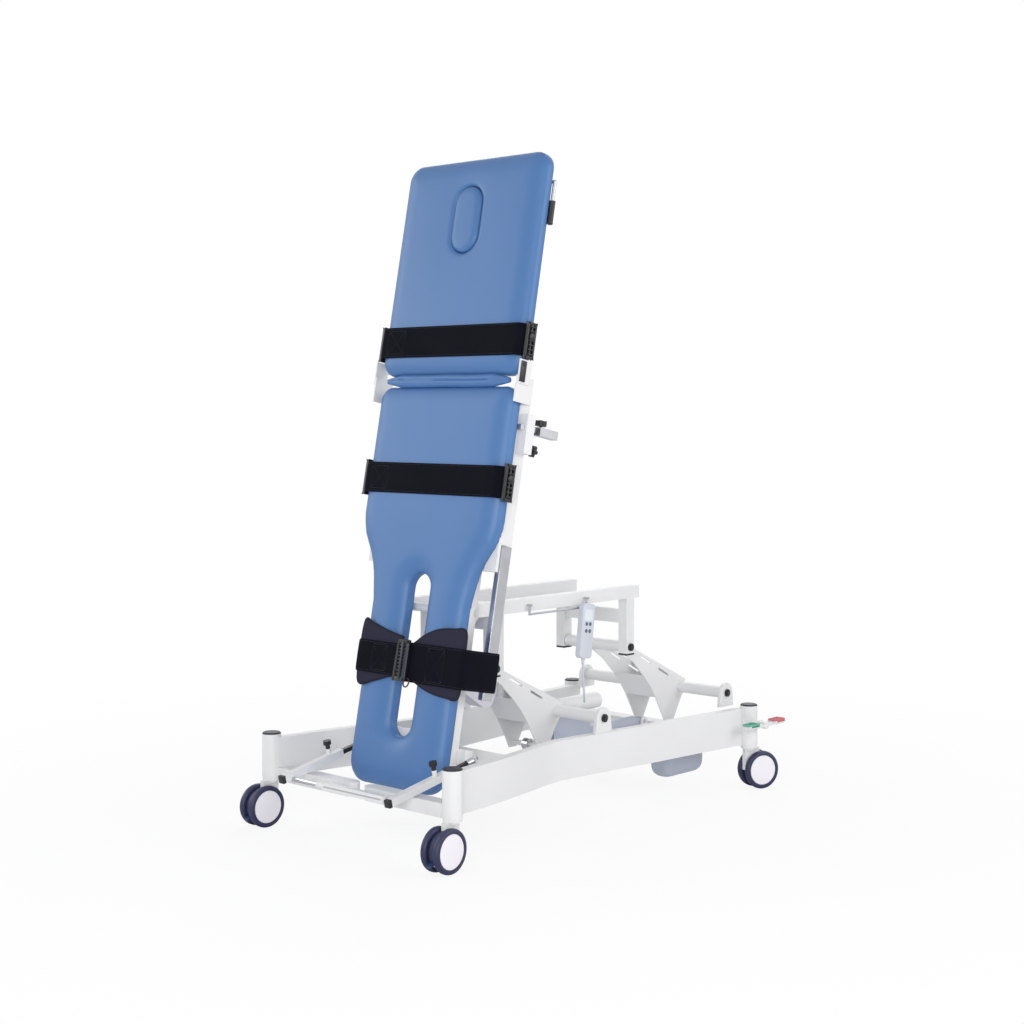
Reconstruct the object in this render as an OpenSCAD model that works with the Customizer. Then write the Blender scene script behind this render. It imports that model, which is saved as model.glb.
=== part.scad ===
// Physiotherapy tilt table on a wheeled lifting base.
// Origin: on the floor, centred under the whole object. +X runs to the rear, -Y is the near side.

/* [Base] */
// Distance between the front and the rear posts
wheelbase = 1398; // [1300:1:1500]
// Distance between the near and the far posts
track = 777; // [740:1:820]
// Diameter of a corner post
post_d = 57; // [50:1:62]
// Height of the top of the posts
post_top = 276; // [270:1:285]
// Height of the underside of the posts and the rails
rail_bottom = 146; // [142:1:150]
// Height of the top of the rails
rail_top = 266; // [260:1:272]
// Width of a rail seen from above
rail_w = 30; // [25:1:34]
// Distance between the outer faces of the rails at their waist
waist_gap = 602; // [590:1:620]
// Distance from the front posts to the waist
waist_x = 549; // [500:1:600]
// Height of the front cross member
front_beam_h = 40; // [30:1:42]
// Thickness of the floor tray
tray_t = 4; // [3:0.5:6]
// Thickness of a post cap
cap_h = 5; // [3:0.5:8]

/* [Casters] */
// Diameter of a wheel
wheel_d = 125; // [115:1:130]
// Width of one tyre
tyre_w = 21; // [18:1:23]
// Distance from the swivel axis to the wheel axle
trail = 36; // [30:1:40]
// Width over both wheels
pair_w = 66; // [62:1:70]
// Direction in which each caster trails, in degrees from +X
caster_turns = [183, 177.5, -21, 21];

/* [Lift] */
// Distance between the lower pivots of the two arms
pivot_pitch = 641; // [630:1:650]
// Distance from the front posts to the front arm's lower pivot
pivot_x = 738; // [730:1:745]
// Height of the lower pivots
pivot_z = 311; // [308:1:316]
// Distance between the pivots of one arm
arm_l = 359; // [350:1:365]
// Angle of the arms above the floor
arm_tilt = 28.3; // [26:0.1:30]
// Diameter of the torque tubes
torque_d = 38; // [34:1:40]
// Thickness of an arm plate
plate_t = 5; // [4:0.5:6]
// Width over both plates of an arm
plates_w = 134; // [126:1:140]
// Distance of the middle of the plates from the object's middle plane, to the near side
plates_off = 51; // [46:1:56]
// Reach of an ear's middle from the middle plane
ear_y = 306; // [302:1:310]
// Thickness of an ear
ear_t = 12; // [10:1:14]
// Width of an ear at its foot
ear_w = 78; // [70:1:84]
// Diameter of a pivot bolt
bolt_d = 16; // [14:1:18]
// Diameter of a pivot bolt's black head
bolt_head_d = 25; // [22:1:28]

/* [Upper frame] */
// Width over the side tubes
frame_w = 306; // [300:1:312]
// Width of a side tube
tube_w = 34; // [30:1:36]
// Height of a side tube
tube_h = 40; // [36:1:44]
// Height of the top of the side tubes
frame_top = 682; // [676:1:690]
// Distance from the rear pivot to the rear end of the side tubes
frame_tail = 46; // [40:1:52]
// Height of the lower end of the legs
leg_bottom = 455; // [448:1:458]

/* [Table] */
// Angle of the table above the floor as it stands
stand_angle = 79; // [76:0.5:82]
// Distance from the front posts to the tilt pivot
tilt_x = 300; // [295:1:305]
// Distance from the foot end of the table's datum to the tilt pivot
tilt_u = 395; // [390:1:400]
// Distance from the front of the table to the tilt pivot
tilt_n = 92; // [90:1:96]
// Length of the leg cushion
leg_l = 1209; // [1180:1:1212]
// Distance from the datum to the foot end of the leg cushion
leg_foot = 143; // [138:1:146]
// Width of the leg cushion at the hips
hip_w = 574; // [560:1:580]
// Width of the leg cushion at the feet
foot_w = 392; // [380:1:400]
// Length of the slot between the legs
slot_l = 514; // [500:1:530]
// Width of the slot between the legs
slot_w = 88; // [80:1:92]
// Length of the backrest cushion
back_l = 688; // [670:1:700]
// Width of the backrest cushion
back_w = 596; // [580:1:600]
// Thickness of the cushions
cushion_t = 50; // [46:1:52]
// Distance of the leg cushion's front behind the backrest's front
leg_set = 9; // [7:1:11]
// Gap between the two cushions
fold_gap = 33; // [30:1:36]
// Length of the face plug
plug_l = 212; // [200:1:220]
// Width of the face plug
plug_w = 113; // [105:1:118]
// Width of a table frame tube
member = 32; // [28:1:34]
// Reach of the side rails' outer faces from the middle plane
rail_reach = 252; // [248:1:254]

/* [Foot support] */
// Width of a foot support arm
foot_arm = 22; // [20:1:24]
// Length of a foot support arm
foot_arm_l = 236; // [225:1:245]
// Distance from the middle plane to the foot support arms
foot_y = 228; // [226:1:230]
// Rise of the foot support arms towards the rear, in degrees
foot_rise = 11.5; // [10:0.5:12]
// Diameter of the cross rod
cross_rod_d = 12; // [10:1:13]

/* [Handset] */
// Length of the handset
handset_l = 172; // [165:1:178]
// Width of the handset
handset_w = 58; // [54:1:62]
// Thickness of the handset
handset_t = 22; // [20:1:24]
// Diameter of the handset's cord
cord_d = 7; // [6:0.5:8]

/* [Fits] */
// Running clearance on the radius of a pivot
run = 0.08; // [0.05:0.01:0.1]
// Clearance between parts that move past each other
pass = 3; // [2:0.5:4]
// Gap that keeps a soft piece off its neighbour
soft_gap = 0.4; // [0.3:0.1:0.6]

/* [Hidden] */
$fn = 48;

// Cuts run past the faces that they open by this much
over = 1;
// Smallest seat gap between hard pieces of two bodies
seat = 0.3;
post_y = track / 2;
post_r = post_d / 2;
wheel_r = wheel_d / 2;
waist_y = waist_gap / 2;
rail_z = rail_top - rail_bottom;
front_reach = max([for (i = [0, 1]) (trail + wheel_r) * abs(cos(caster_turns[i])) + pair_w / 2 * abs(sin(caster_turns[i]))]);
pedal_tip = 128;
// The posts stand this far from the object's middle
back_x = -(wheelbase + pedal_tip - front_reach) / 2;
lean = 90 - stand_angle;
arm_dx = arm_l * cos(arm_tilt);
arm_dz = arm_l * sin(arm_tilt);
upper_x = pivot_x - arm_dx;
upper_z = pivot_z + arm_dz;
tilt_z = frame_top - tube_h / 2;
plates_y = -plates_off;
plate_in = plates_w / 2 - plate_t;
leg_w = 40;
leg_t = tube_w;
leg_y = frame_w / 2 - leg_t / 2;

// Places a child in the table's frame: x behind the front, z along the table from its datum
module on_table() {
    translate([tilt_x, 0, tilt_z])
        rotate([0, lean, 0])
            translate([-tilt_n, 0, -tilt_u])
                children();
}

module placed() {
    translate([back_x, 0, 0])
        children();
}

// A bar along Y between two reaches
module bar_y(d, y0, y1) {
    translate([0, y0, 0])
        rotate([-90, 0, 0])
            cylinder(d = d, h = y1 - y0);
}

module box(from, to) {
    translate(from)
        cube(to - from);
}

module both_sides() {
    children();
    mirror([0, 1, 0])
        children();
}

// Base
front_shares = [[0, 1], [0.35, 0.74], [0.64, 0.41], [0.84, 0.14], [1, 0]];
rear_shares = [[0.2, 0.16], [0.46, 0.46], [0.7, 0.64], [1, 0.95]];
rail_line = concat(
    [for (s = front_shares) [s[0] * waist_x, waist_y + s[1] * (post_y - waist_y)]],
    [for (s = rear_shares) [waist_x + s[0] * (wheelbase - waist_x), waist_y + s[1] * (post_y - waist_y)]]);
rail_back = [for (i = [len(rail_line) - 1 : -1 : 0]) rail_line[i] - [0, rail_w]];
rear_pivot_x = pivot_x + pivot_pitch;
rear_beam_w = 80;
front_beam_w = 46;
front_beam_x = 25;
front_beam_z = 136;
far_half_end = 28;
near_half_end = 15;
tray_front = 330;
tray_rear = 705;
ear_r = 33;
anchor_back = 158;
anchor_x = wheelbase - anchor_back;
anchor_z = 205;
anchor_gap = 28;
anchor_pin_d = 14;
cheek_t = 6;
mid_beam_h = 38;
mid_beam_w = 60;
box_l = 210;
box_w = 90;
box_h = 100;
box_ahead = 100;
box_x = anchor_x - box_ahead;
box_y = -205;
inset_share = 0.9;

module side_rail() {
    color("white")
        difference() {
            union() {
                translate([0, 0, rail_bottom])
                    linear_extrude(rail_z)
                        polygon(concat(rail_line, rail_back));
                for (x = [0, wheelbase])
                    translate([x, post_y, rail_bottom])
                        cylinder(d = post_d, h = post_top - rail_bottom);
            }
            for (x = [0, wheelbase])
                translate([x, post_y, rail_bottom - over])
                    cylinder(r = neck_r + run, h = neck_l + over);
        }
}

module near_rail() {
    placed() {
        mirror([0, 1, 0])
            side_rail();
        color("white")
            translate([pedal_x, 0, pedal_z]) {
                box([-pedal_hub / 2 - pass, -post_y - post_r - cap_h / 4, -pedal_hub / 2],
                    [pedal_hub / 2, -post_y - neck_r, pedal_hub / 2]);
                bar_y(axle_d, -pedal_y - pedal_hub / 2, -post_y - post_r);
            }
    }
}

module far_rail() {
    placed()
        side_rail();
}

// The line of a rail's inner face at a distance from the front posts
function inner_y(x) = lookup(x, rail_line) - rail_w;

// The space between the rails
module between_rails(low, high) {
    translate([0, 0, low])
        linear_extrude(high - low)
            polygon(concat([for (p = rail_line) p - [0, rail_w]],
                [for (i = [len(rail_line) - 1 : -1 : 0]) [rail_line[i][0], rail_w - rail_line[i][1]]]));
}

module half_beam(inner) {
    box([front_beam_x - front_beam_w / 2, inner + front_beam_w / 2, front_beam_z],
        [front_beam_x + front_beam_w / 2, post_y, front_beam_z + front_beam_h]);
    translate([front_beam_x, inner + front_beam_w / 2, front_beam_z])
        cylinder(d = front_beam_w, h = front_beam_h);
}

module base_beams() {
    placed()
        color("white") {
            intersection() {
                union() {
                    half_beam(far_half_end);
                    mirror([0, 1, 0])
                        half_beam(near_half_end);
                    box([rear_pivot_x - rear_beam_w / 2, -post_y, rail_bottom],
                        [rear_pivot_x + rear_beam_w / 2, post_y, rail_bottom + mid_beam_h]);
                    box([anchor_x - mid_beam_w / 2, -post_y, rail_bottom],
                        [anchor_x + mid_beam_w / 2, post_y, rail_bottom + mid_beam_h]);
                }
                between_rails(front_beam_z, rail_top);
            }
            for (side = [-1, 1])
                translate([anchor_x, plates_y + side * (anchor_gap + cheek_t) / 2, rail_bottom + mid_beam_h])
                    rotate([90, 0, 0])
                        linear_extrude(cheek_t, center = true)
                            difference() {
                                union() {
                                    translate([-mid_beam_w / 4, -over])
                                        square([mid_beam_w / 2, anchor_z - rail_bottom - mid_beam_h + over]);
                                    translate([0, anchor_z - rail_bottom - mid_beam_h])
                                        circle(d = mid_beam_w / 2);
                                }
                                translate([0, anchor_z - rail_bottom - mid_beam_h])
                                    circle(d = anchor_pin_d + 2 * run);
                            }
        }
}

module pivot_ears() {
    placed()
        color("white")
            both_sides()
                for (x = [pivot_x, rear_pivot_x])
                    translate([x, ear_y + ear_t / 2, 0])
                        rotate([90, 0, 0])
                            linear_extrude(ear_t)
                                difference() {
                                    union() {
                                        polygon([[-ear_w / 2, rail_top], [ear_w / 2, rail_top],
                                            [ear_r, pivot_z], [-ear_r, pivot_z]]);
                                        translate([0, pivot_z])
                                            circle(r = ear_r);
                                    }
                                    translate([0, pivot_z])
                                        circle(d = bolt_d + 2 * run);
                                }
}

head_t = 9;
bolt_grip = 34;

// A black domed bolt along Y, its head outside a face at y
module pivot_bolt(y, grip) {
    bar_y(bolt_d, y - grip, y + over);
    bar_y(bolt_head_d, y, y + head_t * 2 / 3);
    bar_y(bolt_head_d * 2 / 3, y, y + head_t);
}

module lower_bolts() {
    placed()
        color("black")
            both_sides()
                for (x = [pivot_x, rear_pivot_x])
                    translate([x, 0, pivot_z])
                        pivot_bolt(ear_y + ear_t / 2, bolt_grip);
}

module post_caps() {
    placed()
        color("darkslategray")
            both_sides()
                for (x = [0, wheelbase])
                    translate([x, post_y, post_top]) {
                        cylinder(d = post_d, h = cap_h / 2);
                        cylinder(d = post_d * inset_share, h = cap_h);
                    }
}

module floor_tray() {
    placed()
        color("gainsboro")
            intersection() {
                between_rails(rail_bottom, rail_bottom + tray_t);
                box([tray_front, -post_y, rail_bottom - over], [tray_rear, post_y, rail_top]);
            }
}

module control_box() {
    placed()
        color("lightsteelblue") {
            translate([box_x, box_y, rail_bottom - box_h])
                rotate([0, 90, 0])
                    rotate([0, 0, 90])
                        linear_extrude(box_l)
                            polygon([[-box_w / 2, box_w / 4], [0, 0], [box_w / 2, box_w / 4],
                                [box_w / 2, box_h], [-box_w / 2, box_h]]);
            box([anchor_x - mid_beam_w / 4, box_y - box_w / 4, rail_bottom - over * 2],
                [anchor_x + mid_beam_w / 4, box_y + box_w / 4, rail_bottom]);
        }
}

// Casters
neck_r = 19;
neck_l = 60;
fork_top = rail_bottom - seat;
hood_r = 50;
hood_w = pair_w - 2 * tyre_w - 2 * pass;
hub_share = 0.8;
axle_d = 12;
corner_x = [0, 0, wheelbase, wheelbase];
corner_side = [-1, 1, -1, 1];

module at_corner(i) {
    translate([back_x + corner_x[i], corner_side[i] * post_y, 0])
        rotate([0, 0, caster_turns[i]])
            children();
}

module caster_fork(i) {
    color("white")
        at_corner(i) {
            translate([0, 0, wheel_d + pass])
                cylinder(r = neck_r, h = fork_top + neck_l - over - wheel_d - pass);
            translate([0, 0, fork_top - 2 * cap_h])
                cylinder(r = post_r - pass / 2, h = 2 * cap_h);
            translate([trail, 0, wheel_r])
                rotate([90, 0, 0])
                    linear_extrude(hood_w, center = true)
                        difference() {
                            union() {
                                circle(r = hood_r);
                                translate([-trail - neck_r, 0])
                                    square([trail + neck_r, fork_top - wheel_r - 2 * cap_h]);
                            }
                            translate([-trail - neck_r - over, -hood_r])
                                square([trail, hood_r]);
                            circle(d = axle_d + 2 * run);
                        }
        }
}

module caster_wheels(i) {
    at_corner(i)
        translate([trail, 0, wheel_r])
            rotate([90, 0, 0]) {
                color("darkslateblue")
                    for (side = [-1, 1])
                        translate([0, 0, side * (pair_w - tyre_w) / 2])
                            rotate_extrude()
                                translate([0, -tyre_w / 2])
                                    polygon([[0, 0], [wheel_r * 0.93, 0], [wheel_r, tyre_w / 4],
                                        [wheel_r, tyre_w * 3 / 4], [wheel_r * 0.93, tyre_w], [0, tyre_w]]);
                color("silver")
                    cylinder(d = axle_d, h = pair_w - tyre_w, center = true);
            }
}

lock_l = 40;
lock_t = 5;
lock_w = 18;

module caster_lock(i) {
    at_corner(i)
        color("darkslateblue")
            translate([trail, 0, wheel_r])
                rotate([0, 30, 0])
                    box([hood_r + seat, -lock_w / 2, -lock_t / 2],
                        [hood_r + seat + lock_l / 2, lock_w / 2, lock_t / 2]);
}

module caster_fork_near_front() { caster_fork(0); }
module caster_fork_far_front() { caster_fork(1); }
module caster_fork_near_rear() { caster_fork(2); }
module caster_fork_far_rear() { caster_fork(3); }
module caster_wheels_near_front() { caster_wheels(0); }
module caster_wheels_far_front() { caster_wheels(1); }
module caster_wheels_near_rear() { caster_wheels(2); }
module caster_wheels_far_rear() { caster_wheels(3); }
module caster_lock_near_front() { caster_lock(0); }
module caster_lock_far_front() { caster_lock(1); }

// Brake pedal
pedal_off = 27;
pedal_x = wheelbase + pedal_off;
pedal_y = post_y + post_r + 14;
pedal_z = 212;
pedal_w = 36;
pedal_t = 8;
pedal_hub = 24;
pedal_pad = 56;
pedal_l = pedal_tip - pedal_off;

module brake_pedal() {
    placed()
        translate([pedal_x, -pedal_y, pedal_z])
            color("white")
                difference() {
                    union() {
                        box([-pedal_l, -pedal_hub / 2, -pedal_t / 2], [pedal_l, pedal_hub / 2, pedal_t / 2]);
                        bar_y(pedal_hub, -pedal_hub / 2, pedal_hub / 2);
                        for (side = [-1, 1])
                            box([side * (pedal_l - pedal_pad / 2) - pedal_pad / 2, -pedal_w / 2, 0],
                                [side * (pedal_l - pedal_pad / 2) + pedal_pad / 2, pedal_w / 2, pedal_t]);
                    }
                    bar_y(axle_d + 2 * run, -pedal_w, pedal_w);
                }
}

// Lift arms, with shares of the arm's length measured from the lower pivot
plate_shares = [[-0.88, 0.518], [0.08, 0.064], [0.053, -0.047], [-0.02, -0.145], [-0.08, -0.248],
    [-0.134, -0.34], [-0.223, -0.34], [-0.265, -0.253], [-0.376, -0.061], [-0.462, 0.058],
    [-0.557, 0.162], [-0.713, 0.309], [-0.88, 0.418]];
top_web_shares = [[-0.3, 0.242], [0, 0.1], [0, 0.086], [-0.3, 0.228]];
arc_web_shares = [[-0.376, -0.059], [-0.462, 0.06], [-0.557, 0.164], [-0.545, 0.164], [-0.45, 0.06],
    [-0.362, -0.059]];
slot_shares = [-0.7, -0.4];
slot_long = 62;
slot_high = 7;
crease_share = 0.34;
horn_pin = [-63, -106];
horn_pin_d = 16;
arm_seat = 2;

module arm(x, whole) {
    far_in = leg_y - leg_t / 2 - arm_seat;
    near_y = plates_y - plates_w / 2;
    far_y = plates_y + plates_w / 2;
    placed()
        translate([x, 0, pivot_z])
            color("white") {
                difference() {
                    union() {
                        for (y = [near_y + plate_t, far_y])
                            translate([0, y, 0])
                                rotate([90, 0, 0])
                                    linear_extrude(plate_t)
                                        union() {
                                            polygon(plate_shares * arm_l);
                                            translate([-arm_dx, arm_dz])
                                                circle(d = torque_d);
                                        }
                        translate([0, far_y - over, 0])
                            rotate([90, 0, 0])
                                linear_extrude(plates_w - 2 * over) {
                                    polygon(top_web_shares * arm_l);
                                    polygon(arc_web_shares * arm_l);
                                }
                        bar_y(torque_d, -ear_y + ear_t / 2 + arm_seat, ear_y - ear_t / 2 - arm_seat);
                        translate([-arm_dx, 0, arm_dz]) {
                            bar_y(torque_d, far_y - over, far_in);
                            bar_y(torque_d, near_y + over, whole ? far_y : near_y + bolt_grip);
                        }
                    }
                    both_sides()
                        bar_y(bolt_d + 2 * run, ear_y + ear_t / 2 - bolt_grip - arm_seat, ear_y);
                    translate([-arm_dx, 0, arm_dz])
                        both_sides()
                            bar_y(bolt_d + 2 * run, frame_w / 2 - upper_grip - arm_seat, frame_w / 2);
                    for (s = slot_shares)
                        translate([s * arm_l * cos(arm_tilt) + arm_dx * 0.1, 0, -s * arm_l * sin(arm_tilt) - slot_high])
                            rotate([0, arm_tilt, 0])
                                cube([slot_long, plates_w * 4, slot_high], center = true);
                }
                if (!whole)
                    translate([horn_pin[0], 0, horn_pin[1]])
                        bar_y(horn_pin_d, near_y - 2 * over, far_y + 2 * over);
            }
}

module front_lift_arm() {
    arm(pivot_x, false);
}

module rear_lift_arm() {
    arm(rear_pivot_x, true);
}

// Upper frame
upper_grip = 60;
upper_rear_x = upper_x + pivot_pitch;
frame_nose = 20;
cross_w = 22;
cross_h = 45;
front_cross_z = 597;
rear_cross_z = 559;
hanger_x = 530;
hanger_z = 380;
hanger_gap = 30;
hanger_r = 12;
tilt_shaft_d = 25;
lug_t = 10;
lug_y = frame_w / 2 + 8;
plug_t = 6;

module leg_bores() {
    for (x = [upper_x, upper_rear_x])
        translate([x, 0, upper_z])
            bar_y(bolt_d + 2 * run, -frame_w, frame_w);
}

module upper_frame() {
    tube_in = frame_w / 2 - tube_w;
    placed()
        color("white")
            difference() {
                union() {
                    both_sides() {
                        box([tilt_x - frame_nose, tube_in, frame_top - tube_h],
                            [upper_rear_x + frame_tail, frame_w / 2, frame_top]);
                        for (x = [upper_x, upper_rear_x])
                            box([x - leg_w / 2, tube_in, leg_bottom + plug_t],
                                [x + leg_w / 2, frame_w / 2, frame_top - tube_h / 2]);
                    }
                    box([upper_rear_x - cross_w / 2, -tube_in - over, rear_cross_z],
                        [upper_rear_x + cross_w / 2, tube_in + over, rear_cross_z + cross_h]);
                    box([upper_x - cross_w / 2, -tube_in - over, front_cross_z],
                        [upper_x + cross_w / 2, tube_in + over, front_cross_z + cross_h]);
                    box([hanger_x - cross_w / 2, -tube_in - over, frame_top - tube_h],
                        [hanger_x + cross_w / 2, tube_in + over, frame_top - tube_h / 2]);
                    for (side = [-1, 1])
                        translate([hanger_x, plates_y + side * (hanger_gap + cheek_t) / 2, 0])
                            rotate([90, 0, 0])
                                linear_extrude(cheek_t, center = true) {
                                    translate([-hanger_r, hanger_z])
                                        square([2 * hanger_r, frame_top - tube_h + over - hanger_z]);
                                    translate([0, hanger_z])
                                        circle(r = hanger_r);
                                }
                    translate([tilt_x, 0, tilt_z])
                        bar_y(tilt_shaft_d, -lug_y - lug_t - plug_t, lug_y + lug_t + plug_t);
                }
                leg_bores();
                translate([hanger_x, 0, hanger_z])
                    bar_y(anchor_pin_d + 2 * run, -frame_w / 2, frame_w / 4);
            }
}

module upper_bolts() {
    placed()
        color("black")
            both_sides()
                for (x = [upper_x, upper_rear_x]) {
                    translate([x, 0, upper_z])
                        pivot_bolt(frame_w / 2, upper_grip);
                    box([x - leg_w / 2, frame_w / 2 - tube_w, leg_bottom],
                        [x + leg_w / 2, frame_w / 2, leg_bottom + plug_t]);
                }
}

// Lift actuator
lift_body_w = 66;
lift_body_l = 176;
lift_body_x = 763;
lift_body_low = 186;
lift_body_h = 92;
lift_tube_d = 40;
lift_rod_d = 20;
lift_eye_d = 38;
lift_eye_w = 22;
eye_free = 5;
motor_d = 52;
motor_l = 194;
motor_x = 816;
eye_w = 24;

module lift_housing() {
    placed()
        color("lightsteelblue")
            difference() {
                union() {
                    box([lift_body_x, plates_y - lift_body_w / 2, lift_body_low],
                        [lift_body_x + lift_body_l, plates_y + lift_body_w / 2, lift_body_low + lift_body_h]);
                    translate([lift_body_x, plates_y, anchor_z])
                        rotate([0, 90, 0])
                            cylinder(d = lift_tube_d, h = anchor_x - lift_body_x - lift_tube_d);
                    translate([lift_body_x, plates_y - eye_w / 2, anchor_z - eye_w / 2])
                        cube([anchor_x - lift_body_x, eye_w, eye_w]);
                    translate([anchor_x, plates_y, anchor_z])
                        bar_y(eye_w, -eye_w / 2, eye_w / 2);
                    translate([anchor_x, plates_y, anchor_z])
                        bar_y(anchor_pin_d, -anchor_gap / 2 - cheek_t, anchor_gap / 2 + cheek_t);
                }
                translate([lift_body_x - over, plates_y, anchor_z])
                    rotate([0, 90, 0])
                        cylinder(d = lift_rod_d + 2 * run, h = lift_body_l * 2);
            }
}

module lift_motor() {
    placed()
        color("white")
            translate([motor_x, plates_y, lift_body_low + lift_body_h + motor_d / 2 + seat])
                rotate([0, 90, 0])
                    cylinder(d = motor_d, h = motor_l);
}

module lift_rod() {
    eye_x = pivot_x + horn_pin[0];
    placed()
        color("silver")
            translate([eye_x, plates_y, anchor_z])
                difference() {
                    union() {
                        rotate([0, 90, 0])
                            cylinder(d = lift_rod_d, h = lift_body_x + lift_body_l - eye_x);
                        bar_y(lift_eye_d, -lift_eye_w / 2, lift_eye_w / 2);
                    }
                    bar_y(horn_pin_d + 2 * eye_free, -lift_eye_w, lift_eye_w);
                }
}

// Tilt actuator, drawn along its own line from the hanger pin towards the table's lug
lug_x = 297;
lug_z = 532;
tilt_line = norm([hanger_x - lug_x, hanger_z - lug_z]);
tilt_dip = atan2(hanger_z - lug_z, hanger_x - lug_x);
tilt_tube_d = 34;
tilt_tube_l = 230;
tilt_rod_d = 18;
tilt_body_w = 60;
tilt_body_l = 140;
tilt_body_h = 70;
tilt_body_at = 30;
chamfer_share = 0.3;
fork_gap = 18;
fork_l = 40;

module on_tilt_line() {
    placed()
        translate([hanger_x, plates_y, hanger_z])
            rotate([0, -tilt_dip, 0])
                rotate([0, 0, 180])
                    children();
}

module tilt_housing() {
    color("ghostwhite")
        on_tilt_line()
            difference() {
                union() {
                    bar_y(eye_w, -hanger_gap / 2 + seat, hanger_gap / 2 - seat);
                    bar_y(anchor_pin_d, -hanger_gap / 2 - cheek_t, hanger_gap / 2 + cheek_t);
                    rotate([0, 90, 0])
                        cylinder(d = eye_w, h = tilt_body_at + over);
                    translate([tilt_body_at, 0, 0])
                        rotate([0, 90, 0])
                            cylinder(d = tilt_tube_d, h = tilt_tube_l - tilt_body_at);
                    translate([0, tilt_body_w / 2, 0])
                        rotate([90, 0, 0])
                            linear_extrude(tilt_body_w)
                                polygon([[tilt_body_at, 0], [tilt_body_at, -tilt_body_h * (1 - chamfer_share)],
                                    [tilt_body_at * 2, -tilt_body_h],
                                    [tilt_body_at + tilt_body_l, -tilt_body_h],
                                    [tilt_body_at + tilt_body_l, 0]]);
                }
                translate([tilt_body_at, 0, 0])
                    rotate([0, 90, 0])
                        cylinder(d = tilt_rod_d + 2 * run, h = tilt_tube_l);
            }
}

module tilt_rod() {
    color("silver")
        on_tilt_line() {
            translate([tilt_body_at + pass, 0, 0])
                rotate([0, 90, 0])
                    cylinder(d = tilt_rod_d, h = tilt_line - fork_l - tilt_body_at);
            for (side = [-1, 1])
                translate([tilt_line, side * (fork_gap + cheek_t) / 2, 0])
                    rotate([90, 0, 0])
                        linear_extrude(cheek_t, center = true) {
                            circle(d = eye_w);
                            translate([-fork_l, -eye_w / 2])
                                square([fork_l, eye_w]);
                        }
            translate([tilt_line - fork_l, -fork_gap / 2 - cheek_t, -eye_w / 2])
                cube([eye_w / 2, fork_gap + 2 * cheek_t, eye_w]);
        }
}

// Cushions
foot_corner = 68;
top_corner = 45;
back_corner = 55;
arc_steps = 8;
leg_top = leg_l - leg_foot;
back_foot = leg_top + fold_gap;
back_top = back_foot + back_l;
plug_rise = 490;
plug_mid = back_foot + plug_rise;
slot_foot = 10;
// Half width of the leg cushion: place along the cushion and share of the step from foot to hip
waist_shares = [[0.449, 0], [0.466, 0.04], [0.49, 0.1], [0.515, 0.165], [0.541, 0.275], [0.566, 0.42],
    [0.588, 0.6], [0.615, 0.82], [0.64, 0.93], [0.667, 1], [0.78, 1]];
// Thickness levels of a cushion from its front: depth and how far the side is drawn in
crown_shares = [[0, 0.6], [0.03, 0.36], [0.1, 0.2], [0.22, 0.07], [0.42, 0], [0.74, 0], [0.9, 0.08], [1, 0.2]];

function arc(y, z, r, from, to) =
    [for (i = [0 : arc_steps]) let (a = from + (to - from) * i / arc_steps) [y + r * cos(a), z + r * sin(a)]];
function both(side) = concat(side, [for (i = [len(side) - 1 : -1 : 0]) [-side[i][0], side[i][1]]]);
function loop(side) = concat(side, [for (i = [len(side) - 2 : -1 : 1]) [-side[i][0], side[i][1]]]);
function drawn_in(line, d) = let (n = len(line))
    [for (i = [0 : n - 1]) let (t = line[(i + 1) % n] - line[(i + n - 1) % n]) line[i] + d * [-t[1], t[0]] / norm(t)];

slot_start = slot_foot * 3 + slot_w / 4;
slot_end = slot_l - slot_foot - slot_w / 2;
// One side of the leg cushion and of its slot, from the middle of the foot end to the middle of the hip end
leg_side = concat([[0, seat - leg_foot]],
    arc(foot_w / 2 - foot_corner, foot_corner - leg_foot, foot_corner, -90, 0),
    [for (s = waist_shares) [foot_w / 2 + s[1] * (hip_w - foot_w) / 2, s[0] * leg_l - leg_foot]],
    arc(hip_w / 2 - top_corner, leg_top - top_corner, top_corner, 0, 90), [[0, leg_top - seat]]);
slot_side = concat([[0, slot_start - slot_w / 2]], arc(0, slot_start, slot_w / 2, -80, 0),
    arc(0, slot_end, slot_w / 2, 0, 80), [[0, slot_end + slot_w / 2]]);
back_line = both(concat(
    arc(back_w / 2 - back_corner, back_foot + back_corner, back_corner, -90, 0),
    arc(back_w / 2 - back_corner, back_top - back_corner, back_corner, 0, 90)));
plug_line = both(arc(0, plug_mid + (plug_l - plug_w) / 2, plug_w / 2, 0, 90));
plug_ring = concat(arc(0, plug_mid - (plug_l - plug_w) / 2, plug_w / 2, -90, 0),
    arc(0, plug_mid + (plug_l - plug_w) / 2, plug_w / 2, 0, 90));

// A soft block behind a front plane, its outline drawn in towards both faces
module cushion(line, thick, front) {
    count = len(line);
    rings = [for (s = crown_shares) [for (p = drawn_in(line, s[1] * thick)) [front + s[0] * thick, p[0], p[1]]]];
    last = len(rings) - 1;
    polyhedron(
        points = [for (ring = rings) each ring],
        faces = concat(
            [[for (i = [0 : count - 1]) i]],
            [for (k = [0 : last - 1]) for (i = [0 : count - 1]) let (j = (i + 1) % count)
                each [[k * count + i, (k + 1) * count + i, k * count + j],
                    [k * count + j, (k + 1) * count + i, (k + 1) * count + j]]],
            [[for (i = [count - 1 : -1 : 0]) last * count + i]]));
}

module through(line, grow) {
    translate([-cushion_t, 0, 0])
        rotate([90, 0, 90])
            linear_extrude(3 * cushion_t)
                offset(grow)
                    polygon(line);
}

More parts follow.
